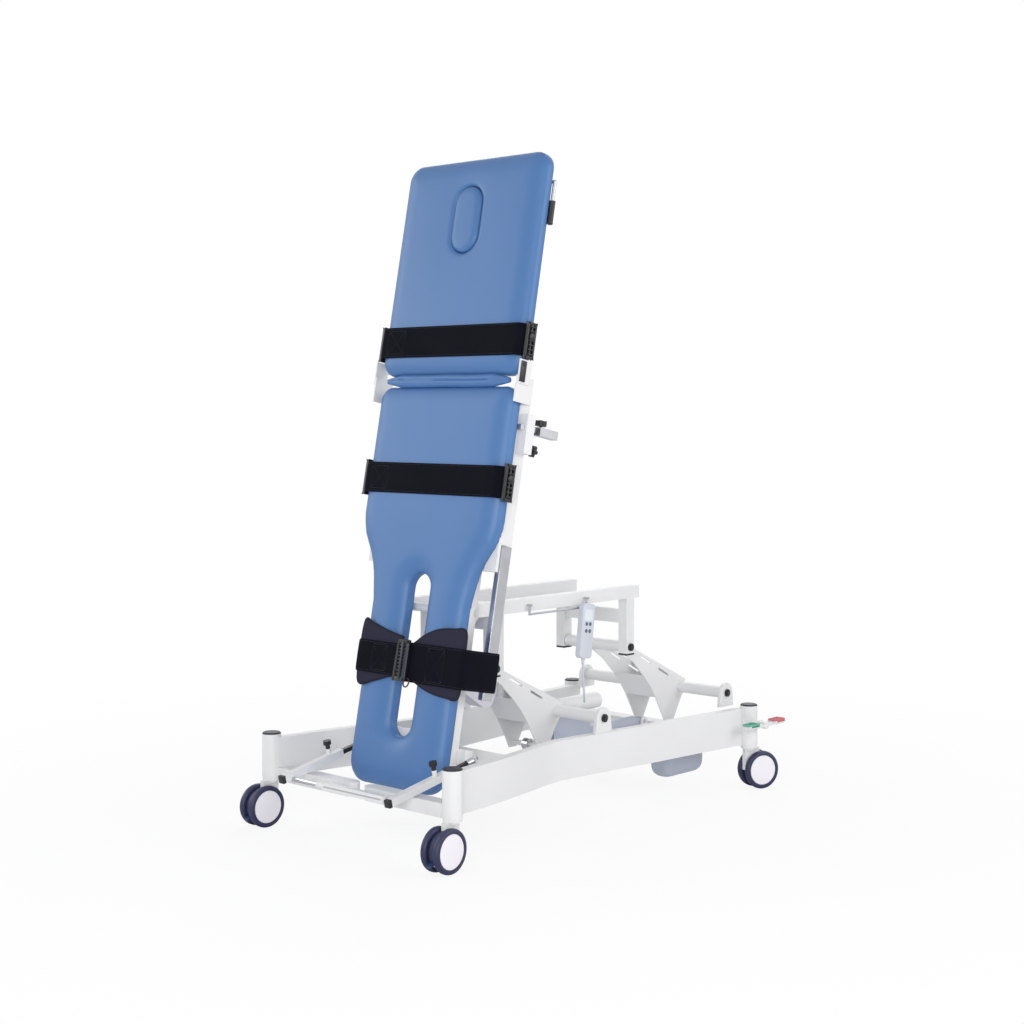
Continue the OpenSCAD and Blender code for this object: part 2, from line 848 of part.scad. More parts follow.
// A cushion with a slot down its middle
module slotted_cushion(side, slot, thick, front) {
    line = loop(side);
    hole = loop(slot);
    count = len(line);
    inner = len(hole);
    rings = [for (s = crown_shares) [for (p = drawn_in(line, s[1] * thick)) [front + s[0] * thick, p[0], p[1]]]];
    last = len(rings) - 1;
    near = (last + 1) * count;
    far = near + inner;
    right = [for (i = [0 : len(side) - 1]) i];
    left = concat([for (i = [len(side) - 1 : count - 1]) i], [0]);
    hole_right = [for (i = [len(slot) - 1 : -1 : 0]) i];
    hole_left = concat([0], [for (i = [inner - 1 : -1 : len(slot) - 1]) i]);
    back = last * count;
    polyhedron(
        points = concat([for (ring = rings) each ring],
            [for (p = hole) [front, p[0], p[1]]], [for (p = hole) [front + thick, p[0], p[1]]]),
        faces = concat(
            [concat(right, [for (i = hole_right) near + i]), concat(left, [for (i = hole_left) near + i])],
            [for (k = [0 : last - 1]) for (i = [0 : count - 1]) let (j = (i + 1) % count)
                each [[k * count + i, (k + 1) * count + i, k * count + j],
                    [k * count + j, (k + 1) * count + i, (k + 1) * count + j]]],
            [for (i = [0 : inner - 1]) let (j = (i + 1) % inner)
                [near + i, near + j, far + j, far + i]],
            [for (cap = [concat([for (i = right) back + i], [for (i = hole_right) far + i]),
                    concat([for (i = left) back + i], [for (i = hole_left) far + i])])
                [for (i = [len(cap) - 1 : -1 : 0]) cap[i]]]));
}

module leg_cushion() {
    placed()
        on_table()
            color("steelblue")
                slotted_cushion(leg_side, slot_side, cushion_t, leg_set);
}

module back_cushion() {
    placed()
        on_table()
            color("steelblue")
                difference() {
                    cushion(back_line, cushion_t, 0);
                    through(both(plug_ring), soft_gap);
                }
}

module face_plug() {
    placed()
        on_table()
            color("steelblue")
                cushion(both(plug_ring), cushion_t * inset_share, 0);
}

fold_w = 522;
fold_t = 18;

module fold_gusset() {
    placed()
        on_table()
            color("steelblue")
                translate([leg_set + fold_t, -fold_w / 2, leg_top + fold_gap / 2])
                    rotate([-90, 0, 0])
                        cylinder(d = fold_gap - 2 * soft_gap, h = fold_w);
}

// Table frames
board_t = 12;
board_front = leg_set + cushion_t + soft_gap;
side_deep = 45;
side_out = 272;
side_foot = 520;
low_gap = 37;
low_out = frame_w / 2 + low_gap;
low_foot = -45;
low_top = 540;
rail_front = 99;
rail_deep = 41;
rail_foot = 147;
rail_head = 600;
hinge_n = 22;
hinge_u = leg_top + fold_gap / 2;
hinge_t = 5;
hinge_in = back_w / 2 + 2;
hinge_pin_d = 10;
spring_y = 70;
spring_foot = [140, 800];
spring_head = [130, 1100];
spring_d = 22;
spring_rod_d = 10;
spring_tube_l = 170;
spring_eye_w = 16;

// A tube of the frame between two reaches along Y, at a depth and a height on the table
module cross_tube(depth, u, reach, deep) {
    box([depth, -reach, u], [depth + deep, reach, u + member]);
}

module leg_frame() {
    lug_n = tilt_n + (lug_x - tilt_x) * cos(lean) - (lug_z - tilt_z) * sin(lean);
    lug_u = tilt_u + (lug_x - tilt_x) * sin(lean) + (lug_z - tilt_z) * cos(lean);
    lug_w = fork_gap - 2 * pass;
    placed()
        on_table()
            color("white")
                difference() {
                    union() {
                        both_sides() {
                            box([board_front, low_out - member, low_foot], [board_front + member, low_out, low_top]);
                            box([board_front + board_t, side_out - member, rail_head],
                                [board_front + board_t + side_deep, side_out, hinge_u - fold_gap]);
                            translate([tilt_n, lug_y, tilt_u])
                                bar_y(2 * member, 0, lug_t);
                            box([rail_front - 2 * board_t, low_out - over, rail_foot + member],
                                [rail_front + board_t, rail_reach - foot_arm + pass, rail_foot + 2 * member]);
                            box([board_front + board_t, side_out - over, hinge_u - 2 * fold_gap],
                                [board_front + 2 * board_t, hinge_in + hinge_t, hinge_u - fold_gap]);
                            box([hinge_n - board_t, hinge_in, hinge_u - 2 * fold_gap],
                                [board_front + 2 * board_t, hinge_in + hinge_t, hinge_u + board_t]);
                        }
                        cross_tube(board_front, low_foot, low_out, member);
                        cross_tube(board_front, 0, low_out, member);
                        cross_tube(board_front, lug_u - member / 2, low_out, member);
                        box([board_front, -side_out, side_foot], [board_front + board_t, side_out, leg_top - 2 * board_t]);
                        cross_tube(board_front + board_t, side_foot, rail_reach - foot_arm, member);
                        cross_tube(board_front + board_t, spring_foot[1] - member / 2, side_out, member);
                        translate([lug_n, plates_y + lug_w / 2, lug_u])
                            rotate([90, 0, 0])
                                linear_extrude(lug_w) {
                                    circle(d = eye_w);
                                    translate([board_front - lug_n, -eye_w / 2])
                                        square([lug_n - board_front, eye_w]);
                                }
                        for (side = [-1, 1])
                            translate([0, spring_y + side * (spring_eye_w + hinge_t + pass) / 2 + hinge_t / 2, 0])
                                rotate([90, 0, 0])
                                    linear_extrude(hinge_t) {
                                        translate(spring_foot)
                                            circle(d = member);
                                        translate([board_front + board_t, spring_foot[1] - member / 2])
                                            square([spring_foot[0] - board_front - board_t, member]);
                                    }
                    }
                    translate([tilt_n, 0, tilt_u])
                        bar_y(tilt_shaft_d + 2 * run, -side_out, side_out);
                    translate([spring_foot[0], 0, spring_foot[1]])
                        bar_y(hinge_pin_d + 2 * run, 0, side_out / 2);
                    translate([hinge_n, 0, hinge_u])
                        bar_y(hinge_pin_d + 2 * run, -2 * hinge_in, 2 * hinge_in);
                    both_sides()
                        box([board_front + board_t, frame_w / 2 - tube_w - pass, side_foot - member],
                            [board_front + board_t + 2 * side_deep, frame_w / 2 + pass, hinge_u]);
                }
}

module steel_rails() {
    placed()
        on_table()
            color("silver")
                both_sides()
                    box([rail_front, rail_reach - foot_arm + pass, rail_foot],
                        [rail_front + rail_deep, rail_reach, rail_head]);
}

lever_t = 8;
plate_end = 44;
head_drop = 70;
shaft_drop = 90;
head_u = back_top - head_drop;
shaft_u = back_top - shaft_drop;
shaft_d = 12;

module back_frame() {
    front = cushion_t + soft_gap;
    placed()
        on_table()
            color("white")
                difference() {
                    union() {
                        both_sides() {
                            box([front, low_out, back_foot + board_t], [front + member, low_out + member, head_u]);
                            box([front, low_out + member - over, back_foot + board_t],
                                [front + hinge_t * 2, hinge_in + 2 * hinge_t + pass / 6, back_foot + plate_end]);
                            box([hinge_n - board_t, hinge_in + hinge_t + pass / 6, hinge_u - board_t],
                                [front + hinge_t * 2, hinge_in + 2 * hinge_t + pass / 6, back_foot + plate_end]);
                            translate([hinge_n, 0, hinge_u])
                                bar_y(hinge_pin_d, hinge_in - over, hinge_in + 2 * hinge_t + pass / 6);
                        }
                        cross_tube(front, back_foot + board_t, low_out + over, board_t - over / 2);
                        cross_tube(front, head_u - member, low_out + over, member);
                        translate([0, spring_y + lever_t / 2, 0])
                            rotate([90, 0, 0])
                                linear_extrude(lever_t) {
                                    translate(spring_head)
                                        circle(d = eye_w);
                                    polygon([[front + over, back_foot + board_t], spring_head - [0, eye_w / 2],
                                        spring_head + [0, eye_w / 2], [front + over, back_foot + 2 * member]]);
                                }
                    }
                    translate([front + member / 2, 0, shaft_u])
                        bar_y(shaft_d + 2 * run, -side_out, 0);
                }
}

grip_l = 72;
grip_d = 18;
handle_l = 132;
handle_y = 300;

module release_handle() {
    placed()
        on_table()
            translate([cushion_t + soft_gap + member / 2, 0, shaft_u]) {
                color("white") {
                    bar_y(shaft_d, -handle_y, -low_out + member);
                    translate([0, -handle_y, -handle_l])
                        cylinder(d = shaft_d, h = handle_l);
                    translate([0, -handle_y, 0])
                        sphere(d = shaft_d);
                }
                color("black")
                    translate([0, -handle_y, -handle_l])
                        cylinder(d = grip_d, h = grip_l);
            }
}

spring_run = norm(spring_head - spring_foot);
spring_lean = atan2(spring_head[0] - spring_foot[0], spring_head[1] - spring_foot[1]);

module on_spring() {
    placed()
        on_table()
            translate([spring_foot[0], spring_y, spring_foot[1]])
                rotate([0, spring_lean, 0])
                    children();
}

module gas_spring_tube() {
    color("black")
        on_spring()
            difference() {
                union() {
                    bar_y(spring_eye_w, -spring_eye_w / 2, spring_eye_w / 2);
                    bar_y(hinge_pin_d, -spring_eye_w / 2 - hinge_t, spring_eye_w / 2 + hinge_t);
                    cylinder(d = spring_eye_w / 2, h = spring_eye_w + pass + over);
                    translate([0, 0, spring_eye_w + pass])
                        cylinder(d = spring_d, h = spring_tube_l);
                }
                translate([0, 0, 2 * spring_eye_w])
                    cylinder(d = spring_rod_d + 2 * run, h = spring_tube_l);
            }
}

module gas_spring_rod() {
    gap = lever_t + 2 * pass;
    color("silver")
        on_spring() {
            translate([0, 0, 2 * spring_eye_w + pass])
                cylinder(d = spring_rod_d, h = spring_run - 2 * spring_eye_w - fork_l + pass);
            for (side = [-1, 1])
                translate([0, side * (gap + hinge_t) / 2 + hinge_t / 2, spring_run])
                    rotate([90, 0, 0])
                        linear_extrude(hinge_t) {
                            circle(d = spring_eye_w);
                            translate([-spring_eye_w / 2, -fork_l])
                                square([spring_eye_w, fork_l]);
                        }
            translate([-spring_eye_w / 2, -gap / 2 - hinge_t, spring_run - fork_l])
                cube([spring_eye_w, gap + 2 * hinge_t, hinge_t]);
        }
}

// Side clamp
bar_from = 64;
block_h = 117;
block_n = 82;
block_deep = 34;
block_w = 30;
bar_w = 16;
bar_u = 950;
bar_rise = 76;
block_foot = bar_u - bar_rise;
bar_l = 81;
arm_long = 80;
arm_w = 26;
knob_d = 36;
knob_h = 16;
stem_d = 8;
stem_l = 26;

module clamp_block() {
    placed()
        on_table()
            color("white")
                difference() {
                    box([block_n, -side_out - block_w, block_foot],
                        [block_n + block_deep, -side_out, block_foot + block_h]);
                    translate([block_n - over, -side_out - block_w / 2 - bar_w / 2 - run * 2, bar_u - bar_w / 2 - run * 2])
                        cube([block_deep + 2 * over, bar_w + 4 * run, bar_w + 4 * run]);
                    translate([block_n + block_deep / 2, -side_out - block_w / 2, block_foot + block_w / 2])
                        rotate([0, 90, 0])
                            cylinder(d = stem_d + 2 * run, h = block_deep);
                }
}

module clamp_arm() {
    placed()
        on_table() {
            color("silver")
                translate([bar_from, -side_out - block_w / 2 - bar_w / 2, bar_u - bar_w / 2])
                    cube([bar_l, bar_w, bar_w]);
            color("white")
                translate([bar_from + bar_l, -side_out - block_w / 2 - arm_w / 2, bar_u - arm_w / 2])
                    difference() {
                        cube([arm_long, arm_w, arm_w]);
                        translate([arm_w / 2, arm_w / 2, arm_w / 2])
                            cylinder(d = stem_d + 2 * run, h = arm_w);
                    }
        }
}

knob_core_share = 0.7;
knob_lobe_share = 0.34;

module knob(points) {
    color("black") {
        cylinder(d = stem_d, h = stem_l);
        translate([0, 0, stem_l - knob_h / 2])
            linear_extrude(knob_h)
                union() {
                    circle(d = knob_d * knob_core_share);
                    for (i = [0 : points - 1])
                        rotate(i * 360 / points)
                            translate([knob_d * (1 - knob_lobe_share) / 2, 0])
                                circle(d = knob_d * knob_lobe_share);
                }
    }
}

module star_knob() {
    placed()
        on_table()
            translate([bar_from + bar_l + arm_w / 2, -side_out - block_w / 2, bar_u])
                knob(5);
}

module lower_knob() {
    placed()
        on_table()
            translate([block_n + block_deep - stem_l / 3, -side_out - block_w / 2, block_foot + block_w / 2])
                rotate([0, 90, 0])
                    knob(5);
}

// Straps
strap_t = 6;
chest_u = 1153;
chest_h = 99;
pelvis_u = 729;
pelvis_h = 96;
strap_back = 46;
knee_u = 176;
knee_far_h = 96;
knee_near_h = 116;
knee_pad_t = 8;
buckle_near = -34;
buckle_far = 16;
pad_front = leg_set - knee_pad_t - soft_gap;
buckle_w = 24;
buckle_h = 110;
buckle_t = 34;

// A band laid over the front and both sides of a cushion
module band(width, front, u, h) {
    out = width / 2 + soft_gap + strap_t;
    translate([0, 0, u])
        linear_extrude(h)
            difference() {
                translate([front - soft_gap - strap_t, -out])
                    square([strap_back + strap_t, 2 * out]);
                translate([front - soft_gap, strap_t - out])
                    square([strap_back * 2, 2 * (out - strap_t)]);
            }
}

module chest_strap() {
    placed()
        on_table()
            color("midnightblue")
                band(back_w, 0, chest_u, chest_h);
}

module pelvis_strap() {
    placed()
        on_table()
            color("midnightblue")
                band(hip_w, leg_set, pelvis_u, pelvis_h);
}

module side_buckle(reach, u) {
    box([buckle_w, reach, u - strap_t], [buckle_w + buckle_t, reach + buckle_w, u + buckle_h - strap_t]);
}

module chest_buckles() {
    placed()
        on_table()
            color("black")
                both_sides()
                    side_buckle(back_w / 2 + strap_t + 2 * soft_gap, chest_u);
}

module pelvis_buckles() {
    placed()
        on_table()
            color("black")
                both_sides()
                    side_buckle(hip_w / 2 + strap_t + 2 * soft_gap, pelvis_u);
}

wing_line = [[27, 178], [184, 147], [190, 240], [184, 337], [27, 293]];
oval_line = [[-52, 172], [-105, 156], [-165, 147], [-196, 145], [-196, 335], [-150, 330], [-100, 312], [-52, 290]];

module knee_pads() {
    placed()
        on_table()
            color("darkslategray")
                for (line = [wing_line, oval_line])
                    translate([pad_front, 0, 0])
                        rotate([90, 0, 90])
                            linear_extrude(knee_pad_t)
                                polygon(line);
}

// A band along a line, its outer face a step from each of the line's points
module strap_path(line, steps, u, h) {
    translate([0, 0, u])
        linear_extrude(h)
            polygon(concat(line, [for (i = [len(line) - 1 : -1 : 0]) line[i] + strap_t * steps[i]]));
}

knee_front = pad_front - soft_gap;
near_path = [[knee_front, buckle_near], [knee_front, -foot_w / 2 - soft_gap - over],
    [knee_front + cushion_t, -rail_reach - over], [rail_front + rail_deep, -rail_reach - over]];
near_steps = [[-1, 0], [-1, 0], [0, -1], [0, -1]];
far_path = [[knee_front, buckle_far], [knee_front, foot_w / 2 + strap_t], [knee_front + cushion_t, foot_w / 2 + strap_t]];
far_steps = [[-1, 0], [-1, 1], [0, 1]];

module knee_straps() {
    placed()
        on_table()
            color("midnightblue") {
                strap_path(far_path, far_steps, knee_u + strap_t, knee_far_h);
                strap_path(near_path, near_steps, knee_u - strap_t, knee_near_h);
            }
}

module knee_buckle() {
    placed()
        on_table()
            color("black")
                box([knee_front - strap_t - buckle_w / 2, buckle_near, knee_u - strap_t],
                    [knee_front - strap_t - soft_gap, buckle_far, knee_u + knee_near_h]);
}

// Foot support, drawn along its arms from their front ends
foot_x = -92;
foot_z = 173;
bore = 15;
scale_bar = 14;
scale_from = 110;
scale_to = 340;
cross_rod_x = -57;
cross_rod_z = 171;
nut_d = 24;
channel_far = 81;
channel_near = 178;
channel_h = 21;
channel_w = 18;
collar_l = 27;
collar_d = 20;
plate_long = 52;
plunger_at = 188;
bush_d = 14;
bush_l = 18;
pin_d = 6;
pin_l = 42;
mushroom_d = 24;
mushroom_h = 12;

module on_foot() {
    placed()
        translate([foot_x, 0, foot_z])
            rotate([0, -foot_rise, 0])
                children();
}

module foot_bars() {
    color("dimgray")
        both_sides()
            on_foot()
                box([scale_from, foot_y - scale_bar / 2, -scale_bar / 2],
                    [scale_to, foot_y + scale_bar / 2, scale_bar / 2]);
    placed()
        on_table()
            color("white")
                both_sides()
                    box([board_front + member, low_out - member, low_foot],
                        [board_front + 2 * member, foot_y - scale_bar / 2, low_foot + member * 1.4]);
}

module foot_carriage() {
    color("white")
        both_sides()
            on_foot()
                difference() {
                    union() {
                        box([0, foot_y - foot_arm / 2, -foot_arm / 2],
                            [foot_arm_l, foot_y + foot_arm / 2, foot_arm / 2]);
                        translate([plunger_at, foot_y, foot_arm / 2 - over])
                            cylinder(d = bush_d, h = bush_l + over);
                    }
                    box([foot_arm, foot_y - bore / 2, -bore / 2], [foot_arm_l + over, foot_y + bore / 2, bore / 2]);
                    translate([plunger_at, foot_y, 0])
                        cylinder(d = pin_d + 2 * run, h = 2 * foot_arm);
                }
    placed()
        translate([cross_rod_x, 0, cross_rod_z])
            color("silver") {
                bar_y(cross_rod_d, -foot_y, foot_y);
                bar_y(collar_d, channel_far, channel_far + collar_l);
                box([-channel_w / 2, -channel_near, -channel_h / 2], [channel_w / 2, channel_far, channel_h / 2]);
                box([0, -channel_near, -channel_h / 2], [plate_long, channel_far, -channel_h / 4]);
            }
}

module plunger(side) {
    color("black")
        on_foot()
            translate([plunger_at, side * foot_y, 0]) {
                translate([0, 0, scale_bar / 2 + seat])
                    cylinder(d = pin_d, h = pin_l);
                translate([0, 0, foot_arm / 2 + bush_l + seat])
                    cylinder(d = bush_d, h = pin_l - foot_arm / 2 - bush_l);
                translate([0, 0, pin_l])
                    cylinder(d = mushroom_d, h = mushroom_h);
            }
}

module plunger_near() { plunger(-1); }
module plunger_far() { plunger(1); }

// Handset on its hanger
handset_x = 799;
handset_z = 563;
handset_y = -184;
handset_turn = 7;
button_d = 9;
button_t = 1.4;
button_gap = 17;
button_row = 22;
pocket = 1;
hook_w = 12;
hook_t = 3;
wire_d = 7;
wire_from = 562;
wire_to = 830;
wire_z = 634;
wire_y = -162;

module on_handset() {
    placed()
        translate([handset_x, handset_y, handset_z])
            rotate([0, handset_turn, 0])
                children();
}

// Places a child at button i, on the handset's near face, pointing out
module at_button(i) {
    translate([(i % 2 - 0.5) * button_gap, -handset_t / 2, button_row - floor(i / 2) * button_row])
        rotate([90, 0, 0])
            children();
}

module handset() {
    color("lightsteelblue") {
        on_handset()
            difference() {
                box([-handset_w / 2, -handset_t / 2, -handset_l / 2], [handset_w / 2, handset_t / 2, handset_l / 2]);
                for (i = [0 : 3])
                    at_button(i)
                        translate([0, 0, -pocket - button_t])
                            cylinder(d = button_d + 2 * run, h = 3 * pocket + button_t);
            }
        placed() {
            box([handset_x - hook_w, handset_y + handset_t / 2 - over, wire_z + wire_d / 2 + seat],
                [handset_x, wire_y + wire_d / 2 + pass, wire_z + wire_d / 2 + seat + hook_t]);
            box([handset_x - hook_w, handset_y + handset_t / 2 - over, handset_z + handset_l / 4],
                [handset_x, handset_y + handset_t / 2 + hook_t, wire_z + wire_d / 2 + seat + hook_t]);
        }
    }
}

module handset_button(i) {
    color("black")
        on_handset()
            at_button(i)
                translate([0, 0, -button_t - pocket + seat * 3])
                    cylinder(d = button_d, h = button_t + pocket);
}

module handset_button_1() { handset_button(0); }
module handset_button_2() { handset_button(1); }
module handset_button_3() { handset_button(2); }
module handset_button_4() { handset_button(3); }

module handset_rod() {
    placed()
        color("silver") {
            translate([wire_from, wire_y, wire_z])
                rotate([0, 90, 0])
                    cylinder(d = wire_d, h = wire_to - wire_from);
            for (x = [wire_from, wire_to])
                translate([x, wire_y, 0]) {
                    translate([0, 0, wire_z - wire_d / 2])
                        cylinder(d = wire_d, h = frame_top - tube_h - wire_z + 3 * wire_d);
                    translate([0, 0, frame_top - tube_h / 2])
                        rotate([90, 0, 0])
                            cylinder(d = wire_d, h = 2 * (-wire_y - frame_w / 2), center = true);
                }
        }
}

// Route of the handset's cord from its strain relief to the lift actuator, each point in millimetres
cord_route = [[789, -184, 477], [787, -184, 462], [784, -181, 440], [784, -176, 415], [788, -168, 390],
    [795, -158, 365], [806, -144, 345], [820, -128, 332], [836, -112, 324], [852, -98, 322], [866, -88, 322]];
cord_sides = 8;

function along(route, i) =
    let (a = route[max(i - 1, 0)], b = route[min(i + 1, len(route) - 1)]) (b - a) / norm(b - a);
function ring_points(p, dir, r) =
    let (side = cross(dir, [0, 1, 0]) / norm(cross(dir, [0, 1, 0])), up = cross(side, dir))
        [for (k = [0 : cord_sides - 1]) let (a = 360 * k / cord_sides) p + r * (cos(a) * side + sin(a) * up)];
function smooth(route) = [for (i = [0 : len(route) - 1]) each i == len(route) - 1 ? [route[i]] :
    [route[i], (route[i] + route[i + 1]) / 2 + (i > 0 && i < len(route) - 2 ?
        (route[i] + route[i + 1] - route[i - 1] - route[i + 2]) / 16 : [0, 0, 0])]];

module tube(route, d) {
    path = smooth(route);
    last = len(path) - 1;
    polyhedron(
        points = [for (i = [0 : last]) each ring_points(path[i], along(path, i), d / 2)],
        faces = concat([[for (k = [cord_sides - 1 : -1 : 0]) k]],
            [for (i = [0 : last - 1]) for (k = [0 : cord_sides - 1]) let (n = (k + 1) % cord_sides)
                each [[i * cord_sides + k, i * cord_sides + n, (i + 1) * cord_sides + k],
                    [i * cord_sides + n, (i + 1) * cord_sides + n, (i + 1) * cord_sides + k]]],
            [[for (k = [0 : cord_sides - 1]) last * cord_sides + k]]));
}

module handset_cord() {
    placed()
        color("lightgray")
            tube(cord_route, cord_d);
}

near_rail();
far_rail();
base_beams();
pivot_ears();
lower_bolts();
post_caps();
floor_tray();
control_box();
caster_fork_near_front();
caster_fork_far_front();
caster_fork_near_rear();
caster_fork_far_rear();
caster_wheels_near_front();
caster_wheels_far_front();
caster_wheels_near_rear();
caster_wheels_far_rear();
caster_lock_near_front();
caster_lock_far_front();
front_lift_arm();
rear_lift_arm();
upper_frame();
upper_bolts();
lift_housing();
lift_motor();
lift_rod();
tilt_housing();
tilt_rod();
leg_frame();
leg_cushion();
steel_rails();
foot_bars();
clamp_block();
clamp_arm();
star_knob();
lower_knob();
pelvis_strap();
pelvis_buckles();
knee_pads();
knee_straps();
knee_buckle();
back_frame();
back_cushion();
face_plug();
chest_strap();
chest_buckles();
fold_gusset();
release_handle();
gas_spring_tube();
gas_spring_rod();
foot_carriage();
plunger_near();
plunger_far();
handset();
handset_button_1();
handset_button_2();
handset_button_3();
handset_button_4();
handset_rod();
handset_cord();
brake_pedal();
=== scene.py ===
# Tilt table for physiotherapy: finishes, upholstery, straps, casters and small parts around the CAD frame.
import math

import bmesh
import bpy
import numpy as np
from mathutils import Matrix, Vector, noise
from mathutils.geometry import delaunay_2d_cdt


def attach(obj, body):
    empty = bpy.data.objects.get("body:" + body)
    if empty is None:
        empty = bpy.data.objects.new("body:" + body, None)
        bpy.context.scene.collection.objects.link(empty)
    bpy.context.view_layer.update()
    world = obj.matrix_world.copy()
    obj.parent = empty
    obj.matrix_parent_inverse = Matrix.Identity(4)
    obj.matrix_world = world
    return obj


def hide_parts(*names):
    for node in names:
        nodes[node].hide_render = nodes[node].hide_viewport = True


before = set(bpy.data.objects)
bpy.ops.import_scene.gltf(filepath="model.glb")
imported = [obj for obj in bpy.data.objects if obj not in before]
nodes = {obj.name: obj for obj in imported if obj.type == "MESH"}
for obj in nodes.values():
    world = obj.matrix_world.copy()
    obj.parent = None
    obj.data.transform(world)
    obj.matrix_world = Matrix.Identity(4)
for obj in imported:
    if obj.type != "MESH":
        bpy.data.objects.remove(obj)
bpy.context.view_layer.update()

# Places. Lengths are in millimetres from the front posts' axis, as in the CAD source, leans in degrees.
# BACK_X brings the middle of the part to x = 0.
MM = 0.001
BACK_X = -712.954
TILT_SHAFT, SHAFT_BACK, SHAFT_UP = (300, 0, 662), 92, 395
FOOT_PIVOT, HANDSET_AT = (-92, 0, 173), (799, -184, 563)
TABLE_LEAN, FOOT_LEAN, HANDSET_LEAN = 11, -11.5, 7
WHEELBASE, POST_Y = 1398, 388.5
CORNERS = {"near_front": (0, -POST_Y), "far_front": (0, POST_Y),
           "near_rear": (WHEELBASE, -POST_Y), "far_rear": (WHEELBASE, POST_Y)}
CASTER_TURNS = {"near_front": 183, "far_front": 177.5, "near_rear": -21, "far_rear": 21}


def shift(x, y, z):
    return Matrix.Translation((x, y, z))


def turn(degrees, axis):
    return Matrix.Rotation(math.radians(degrees), 4, axis)


ROOM = Matrix.Scale(MM, 4) @ shift(BACK_X, 0, 0)
TABLE = ROOM @ shift(*TILT_SHAFT) @ turn(TABLE_LEAN, "Y") @ shift(-SHAFT_BACK, 0, -SHAFT_UP)
FOOT = ROOM @ shift(*FOOT_PIVOT) @ turn(FOOT_LEAN, "Y")
HANDSET = ROOM @ shift(*HANDSET_AT) @ turn(HANDSET_LEAN, "Y")


def corner(name):
    """The frame of a caster: x trails back from its post, z up."""
    return ROOM @ shift(*CORNERS[name], 0) @ turn(CASTER_TURNS[name], "Z")


# Camera
scene = bpy.context.scene
eye = bpy.data.cameras.new("eye")
eye.lens = 60.53
eye.sensor_width = 36
eye.sensor_fit = "HORIZONTAL"
eye.shift_y = -0.102
camera = bpy.data.objects.new("eye", eye)
camera.location = (-4.05395, -3.719, 1.268)
camera.rotation_euler = (math.radians(90), 0, math.radians(-47.07))
scene.collection.objects.link(camera)
scene.camera = camera
scene.view_settings.view_transform = "Standard"


class Tree:
    """A short way to write shader nodes."""

    def __init__(self, owner):
        self.tree = owner
        self.nodes = owner.nodes
        self.x = 0

    def add(self, kind, links=(), **values):
        node = self.nodes.new("ShaderNode" + kind)
        self.x += 180
        node.location = (self.x, 0)
        for key, value in values.items():
            setattr(node, key, value)
        for socket, source in dict(links).items():
            self.set(node, socket, source)
        return node

    def set(self, node, socket, source):
        target = node.inputs[socket]
        if isinstance(source, bpy.types.NodeSocket):
            self.tree.links.new(source, target)
        else:
            target.default_value = source

    def calc(self, operation, *values, **more):
        """The result of a Math node."""
        return self.add("Math", dict(enumerate(values)), operation=operation, **more).outputs[0]

    def blend(self, factor, first, second, kind="RGBA"):
        """The result of a Mix node, for colours or for plain numbers."""
        near, far, result = {"RGBA": (6, 7, 2), "FLOAT": (2, 3, 0)}[kind]
        node = self.add("Mix", data_type=kind)
        for socket, source in ((0, factor), (near, first), (far, second)):
            self.set(node, socket, source)
        return node.outputs[result]


def group(name, inputs, outputs):
    """An empty shader group with named sockets: its tree, its inputs node and its outputs node."""
    tree = bpy.data.node_groups.new(name, "ShaderNodeTree")
    for label, kind, value in inputs:
        socket = tree.interface.new_socket(name=label, in_out="INPUT", socket_type="NodeSocket" + kind)
        socket.default_value = value
    for label, kind in outputs:
        tree.interface.new_socket(name=label, in_out="OUTPUT", socket_type="NodeSocket" + kind)
    made = Tree(tree)
    given = made.nodes.new("NodeGroupInput")
    result = made.nodes.new("NodeGroupOutput")
    return made, given.outputs, result


def colour(red, green, blue):
    """A colour as seen, 0 to 255, as Blender's linear values."""
    def straight(c):
        c /= 255
        return c / 12.92 if c <= 0.04045 else ((c + 0.055) / 1.055) ** 2.4
    return (straight(red), straight(green), straight(blue), 1)


WHITE = (1, 1, 1, 1)


def make_mottle():
    """A colour that drifts a little from place to place."""
    t, given, out = group("colour_drift",
                          [("Color", "Color", WHITE), ("Scale", "Float", 12.0), ("Amount", "Float", 0.1)],
                          [("Color", "Color"), ("Mask", "Float")])
    where = t.add("TexCoord")
    slow = t.add("TexNoise", {"Vector": where.outputs["Object"], "Scale": given["Scale"], "Detail": 4.0})
    centred = t.calc("SUBTRACT", slow.outputs["Fac"], 0.5)
    level = t.calc("ADD", t.calc("MULTIPLY", centred, given["Amount"]), 1.0)
    shade = t.add("VectorMath", {0: given["Color"], "Scale": level}, operation="SCALE")
    t.set(out, "Color", shade.outputs[0])
    t.set(out, "Mask", slow.outputs["Fac"])
    return t.tree


def make_edge_wear():
    """Sharp edges rubbed to a second colour, in broken patches."""
    t, given, out = group("edge_wear",
                          [("Color", "Color", WHITE), ("Worn", "Color", (0.8, 0.8, 0.8, 1)),
                           ("Amount", "Float", 0.3)],
                          [("Color", "Color")])
    shape = t.add("NewGeometry")
    where = t.add("TexCoord")
    rub = t.add("TexNoise", {"Vector": where.outputs["Object"], "Scale": 60.0, "Detail": 5.0})
    ridge = t.add("MapRange", {"Value": shape.outputs["Pointiness"], "From Min": 0.54, "From Max": 0.62})
    broken = t.calc("MULTIPLY", ridge.outputs[0], rub.outputs["Fac"])
    mask = t.calc("MULTIPLY", broken, given["Amount"], use_clamp=True)
    t.set(out, "Color", t.blend(mask, given["Color"], given["Worn"]))
    return t.tree


